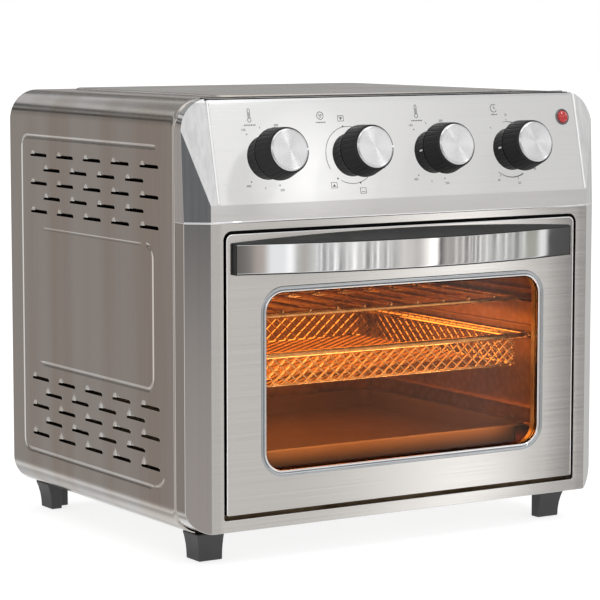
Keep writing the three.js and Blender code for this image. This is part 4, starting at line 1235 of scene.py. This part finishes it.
def make_lamp():
    middle = (Vector(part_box("lamp_lens")[0]) + Vector(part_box("lamp_lens")[1])) / 2
    height = (middle - Vector(joints["timer_turn"]["pos_m"])).dot(PANEL_NORMAL)
    place = Matrix.Translation(middle - PANEL_NORMAL * height) @ PANEL_TURN
    bore = 5.2
    ring = [(bore, -5), (bore, 0.5), (5.3, 0.85), (5.6, 1.0), (6.1, 0.9), (6.45, 0.5), (6.6, 0.1), (6.0, 0.1),
            (5.6, -0.5), (5.6, -5), (bore, -5)]
    bezel = Builder().turned(ring, 64)
    bezel.faces = [face for face in bezel.faces if len(face) == 4]
    add_piece("lamp_ring", bezel, "oven", LAMP_METAL, ("lamp_bezel",), place)
    turns = np.linspace(0, math.pi / 2 * 0.97, 9)
    dome = [(5.1, -4)] + [(5.1 * math.cos(t), 0.4 + 2.6 * math.sin(t)) for t in turns]
    lens = Builder().turned(dome, 48)
    add_piece("lamp_dome", lens, "oven", RED, ("lamp_lens",), place)


class Print:
    """Thin printed marks on the leaning panel, drawn in a knob's own frame."""

    def __init__(self):
        self.builder = Builder()
        self.low, self.high = 0.02, 0.07

    def bar(self, u, v, length, width, turn=0):
        c, s = math.cos(turn), math.sin(turn)
        half_l, half_w = length / 2, width / 2
        corners = ((-half_l, -half_w), (half_l, -half_w), (half_l, half_w), (-half_l, half_w))
        self.shape([(u + c * a - s * b, v + s * a + c * b) for a, b in corners])

    def row(self, count, u, v):
        """Small squares in a row, in place of lettering."""
        for k in range(count):
            self.bar(u + 1.5 * k, v, 0.9, 0.9)

    def shape(self, corners):
        count = len(corners)
        points = [(u, v, h) for h in (self.low, self.high) for u, v in corners]
        faces = [tuple(range(count))[::-1], tuple(range(count, 2 * count))]
        faces += [(k, (k + 1) % count, count + (k + 1) % count, count + k) for k in range(count)]
        self.builder.add(points, faces)

    def dot(self, u, v, radius):
        turns = np.radians(np.arange(0, 360, 24))
        self.shape([(u + radius * math.cos(a), v + radius * math.sin(a)) for a in turns])

    def arc(self, u, v, radius, start, end, width, end_width=None):
        """Curved line from one angle to another, which may grow wider."""
        end_width = width if end_width is None else end_width
        steps = max(6, int(abs(end - start) / 6))
        turns = np.radians(np.linspace(start, end, steps + 1))
        for k, (a, b) in enumerate(zip(turns, turns[1:])):
            wide = width + (end_width - width) * k / steps
            r0, r1 = radius - wide / 2, radius + wide / 2
            corners = ((r0, a), (r1, a), (r1, b), (r0, b))
            self.shape([(u + r * math.cos(t), v + r * math.sin(t)) for r, t in corners])

    def number(self, text, u, v, size=2.6):
        """A number as flat outlines, centred on its place."""
        curve = bpy.data.curves.new("number", "FONT")
        curve.body = text
        curve.size = size
        curve.align_x, curve.align_y = "CENTER", "CENTER"
        curve.resolution_u = 2
        holder = bpy.data.objects.new("number", curve)
        mesh = bpy.data.meshes.new_from_object(holder)
        points = [(u + point.co.x, v + point.co.y, self.high) for point in mesh.vertices]
        self.builder.add(points, [tuple(face.vertices) for face in mesh.polygons])
        bpy.data.objects.remove(holder)
        bpy.data.curves.remove(curve)
        bpy.data.meshes.remove(mesh)


def around(degrees, radius):
    """Place on a ring round the knob."""
    return radius * math.cos(math.radians(degrees)), radius * math.sin(math.radians(degrees))


def temperature_print(marks, numbers):
    """Ring of dots with numbers and ticks between them, and a small thermometer sign."""
    last = 2 * (len(numbers) - 1)
    for k in range(last + 1):
        turn = 128 - k * 258 / last
        if k % 2 == 0:
            marks.dot(*around(turn, 23.2), 0.55)
            marks.number(numbers[k // 2], *around(turn, 27.4))
        else:
            marks.bar(*around(turn, 23.2), 1.4, 0.45, math.radians(turn))
    sign = -10.5
    marks.arc(sign, 29.0, 1.5, 0, 360, 0.4)
    for way in (-1, 1):
        marks.bar(sign + 0.9 * way, 33.5, 0.4, 6.4)
    marks.bar(sign, 32.7, 0.4, 4.6)
    marks.arc(sign, 36.7, 0.9, 0, 180, 0.4)
    marks.row(7, sign - 4.6, 25.2)


def function_print(marks):
    """Ring line with small square signs for the heating modes."""
    marks.arc(0, 0, 22.2, -120, 208, 0.4)
    for turn in (100, 42, -18, -74, -128):
        marks.dot(*around(turn, 22.6), 0.7)
        u, v = around(turn, 29.0)
        for way in (-1, 1):
            marks.bar(u, v + 2.1 * way, 5.4, 0.35)
            marks.bar(u + 2.6 * way, v, 0.35, 4.5)
        marks.bar(u, v + (0.9 if turn > 0 else -0.9), 3.4, 0.4)
        if turn in (100, -128):
            marks.dot(u, v - 0.2, 0.8)
    badge_u, badge_v = -23.5, 31
    marks.arc(badge_u, badge_v, 2.9, 0, 360, 0.45)
    for turn in (0, 120, 240):
        u, v = around(turn, 0.9)
        marks.arc(badge_u + u, badge_v + v, 0.9, turn, turn + 200, 0.4)
    marks.row(6, badge_u - 3.7, 25.8)


def timer_print(marks):
    """Wedge lines that grow with the time, minute numbers and a small clock sign."""
    marks.arc(0, 0, 22.4, 100, 60, 0.3, 0.9)
    marks.arc(0, 0, 22.4, -62, -128, 0.9, 0.3)
    for k, number in enumerate(("", "10", "20", "30", "40", "50", "60")):
        turn = 132 - k * 42
        marks.bar(*around(turn, 24.0), 1.5, 0.4, math.radians(turn))
        if number:
            marks.number(number, *around(turn, 27.9))
    clock = -11
    marks.arc(clock, 33.5, 3.1, 50, 330, 0.45)
    marks.bar(clock, 34.4, 0.4, 2.2)
    marks.bar(clock + 0.8, 33.4, 1.8, 0.4)
    marks.row(4, clock - 2.2, 28.4)


def make_printing():
    drawings = {
        "air_temp": lambda marks: temperature_print(marks, ("150", "200", "300", "350", "400")),
        "function": function_print,
        "oven_temp": lambda marks: temperature_print(marks, ("150", "200", "250", "350", "450")),
        "timer": timer_print,
    }
    for name, draw in drawings.items():
        marks = Print()
        draw(marks)
        place = knob_place(name)
        add_piece("print_" + name, marks.builder, "oven", INK, matrix=place)


# ---- Casing: pieces that keep the CAD's shape, with rounded edges -------------------------------

# Folds of the control panel: distance from the middle by side, and the height where they start.
CREASES = {-1: 169.4, 1: 174.6}
FOLD_Z = 272.7
CREASE_HALF_WIDTH = 1.4
CREASE_GROOVE = 0.7
CREASE_FADE = 12
STRIP_SLOPE = 0.16


def crease_panel(tool):
    """Presses two upright folds into the leaning panel; the strips outside them lean back a little more."""
    for side, crease in CREASES.items():
        for x in (crease - CREASE_HALF_WIDTH, crease, crease + CREASE_HALF_WIDTH):
            geometry = list(tool.verts) + list(tool.edges) + list(tool.faces)
            place = (side * x * MM, 0, 0)
            bmesh.ops.bisect_plane(tool, geom=geometry, plane_co=place, plane_no=(1, 0, 0), dist=1e-6)
    fold = Vector(to_row([0, 0, FOLD_Z]))
    for vertex in tool.verts:
        reach = abs(vertex.co.x) / MM - CREASES[1 if vertex.co.x > 0 else -1]
        behind = (fold - vertex.co).dot(PANEL_NORMAL) / MM
        climb = min(1, max(0, (vertex.co.z / MM - FOLD_Z) / CREASE_FADE))
        if reach < -0.4 or behind > 3:
            continue
        press = CREASE_GROOVE if abs(reach) < 0.1 else STRIP_SLOPE * max(0, reach)
        vertex.co -= PANEL_NORMAL * press * climb * MM


SEAM_SIDE, SEAM_CORNER, SEAM_BEND, SEAM_REAR = 191.6, 176.4, 12.7, 25.5
SEAM_INSET, SEAM_RADIUS = 0.45, 0.85
# Depth and height of two black tubes along the panel's top edge: painted shade lines.
TOP_LINES = ((25.8, 351.15), (19.5, 350.4))


def make_seam():
    """Fine bright bead in the joint between the control panel and the frame, and black tubes that paint the
    shade lines by it and along the panel's top edge.
    """
    height = (box_mm("front_frame")[1][2] + box_mm("control_panel")[0][2]) / 2
    corner = SEAM_CORNER - SEAM_INSET * 0.6
    right = [(corner, SEAM_INSET), (SEAM_SIDE, SEAM_BEND), (SEAM_SIDE, SEAM_REAR)]
    corners = [(-x, y) for x, y in reversed(right)] + right
    path = []
    for a, b in zip(corners, corners[1:]):
        path += [np.add(a, np.subtract(b, a) * t) for t in np.linspace(0, 1, 12, endpoint=False)]
    path.append(np.array(corners[-1]))
    bead = Builder().tube([(x, y, height) for x, y in path], SEAM_RADIUS, 12)
    add_piece("seam_bead", bead, "oven", CHROME)
    # Painted shadow: a thin black tube just under the bead.
    line = Builder().tube([(x, y - 0.1, height - 1.15) for x, y in path], 0.25, 8)
    for y, z in TOP_LINES:
        line.tube([(x, y, z) for x in np.linspace(-170, 170, 9)], 0.42, 8)
    add_piece("seam_line", line, "oven", SHADE_BLACK)


def make_panel_folds():
    """Near-white tubes in the panel's two upright folds: painted highlights along the fold edges."""
    lean = PANEL_NORMAL.z / -PANEL_NORMAL.y
    heights = np.linspace(FOLD_Z + 1.5, 348, 12)
    folds = Builder()
    for side, crease in CREASES.items():
        folds.tube([(side * crease, lean * (z - FOLD_Z) + 0.2, z) for z in heights], 0.75, 10)
    add_piece("panel_folds", folds, "oven", EDGE_HIGHLIGHT)


def door_arch(half, top, radius, depth, foot, steps):
    """Path up one side of the door, over its top and down the other side."""
    arch = [(u, depth, v) for u, v in rounded_rectangle(half, -top, top, radius, steps) if v > 0]
    return [(half, depth, foot)] + arch + [(-half, depth, foot)]


def make_door_gap_shade():
    """Dark tube round the sides and top of the door, in the gap to the frame: painted shade in the gap."""
    path = door_arch(half=164.05, top=252.0, radius=6, depth=4.6, foot=62, steps=6)
    add_piece("door_gap_shade", Builder().tube(path, 1.15, 10), "door", RUBBER)


def make_door_edge():
    """Near-white tube round the sides and top of the door's face: a painted highlight on its rolled edge."""
    low, high = box_mm("door_panel")
    corner, radius = 5, 0.45
    path = door_arch(high[0] - radius, high[2] - radius, corner - radius, radius - 0.1, low[2] + 1, steps=8)
    add_piece("door_edge", Builder().tube(path, radius, 10), "door", EDGE_HIGHLIGHT)


def make_vent_shade_sheet():
    """Near-black sheet close behind the rear panel's vents: painted shade for the dark inside seen through
    them.
    """
    half, bottom, top, sheet, gap = 128, 244, 316, 0.6, 3
    inside = box_mm("rear_panel")[0][1] - gap
    screen = Builder().block((-half, inside - sheet, bottom), (half, inside, top))
    add_piece("vent_shade_sheet", screen, "oven", SHADE_BLACK)


def make_casing():
    refined("front_frame", "oven", FRAME_STEEL, 0.45, merge=0.42)
    refined("control_panel", "oven", PANEL_STEEL, 0.4, crease_panel, angle=9, merge=0.12)
    refined("door_panel", "door", DOOR_STEEL, 0.9, merge=0.3)
    refined("door_inner_frame", "door", GALVANISED, 0.3)
    refined("rear_panel", "oven", GALVANISED, 0.25, flatten=False)
    refined("base_plate", "oven", GALVANISED, 0.2)
    refined("cord_gland", "oven", RUBBER, 0.5)
    for place in ("front_left", "rear_left", "front_right", "rear_right"):
        refined("foot_" + place, "oven", CHARCOAL, 0.8)
    keep_node("door_glass", GLASS)


def make_inside():
    for side in ("front", "left", "right", "back", "floor", "top"):
        keep_node("cavity_" + side, CHAMBER_SHEET)
    for side in ("left", "right"):
        refined("rack_guide_" + side, "oven", CHAMBER_SHEET, 0.35)
        refined("hinge_bracket_" + side, "oven", GALVANISED, 0.3)
        refined("hinge_pin_" + side, "door", MOTOR_STEEL, 0.3)
    for place in ("top_front", "top_rear", "bottom_front", "bottom_rear"):
        refined("heater_" + place, "oven", HEATER, 0.6)
    refined("fan_guard", "oven", CHAMBER_SHEET, 0.3, flatten=False)
    refined("fan_blade", "fan", GALVANISED, 0.25, flatten=False)
    refined("fan_shaft", "fan", MOTOR_STEEL, 0.3)
    refined("fan_motor", "oven", MOTOR_STEEL, 0.8)
    refined("motor_bracket", "oven", GALVANISED, 0.3)
    refined("crumb_tray", "crumbs", CHAMBER_SHEET, 0.25)
    for name in POINTER_ON_SKIRT:
        refined("control_" + name, "oven", MOTOR_STEEL, 0.6)
        shaft = refined("knob_shaft_" + name, "dial_" + name, MOTOR_STEEL, 0.3)
        shaft.visible_glossy = False


make_camera()
make_lights()
make_floor()
make_casing()
make_seam()
make_panel_folds()
make_door_gap_shade()
make_door_edge()
make_vent_shade_sheet()
make_shell()
make_handle()
make_window_rim()
make_inside()
make_wire_rack()
make_basket()
make_pan()
for knob_name, on_skirt in POINTER_ON_SKIRT.items():
    make_knob(knob_name, on_skirt)
make_lamp()
make_printing()

bpy.context.view_layer.update()
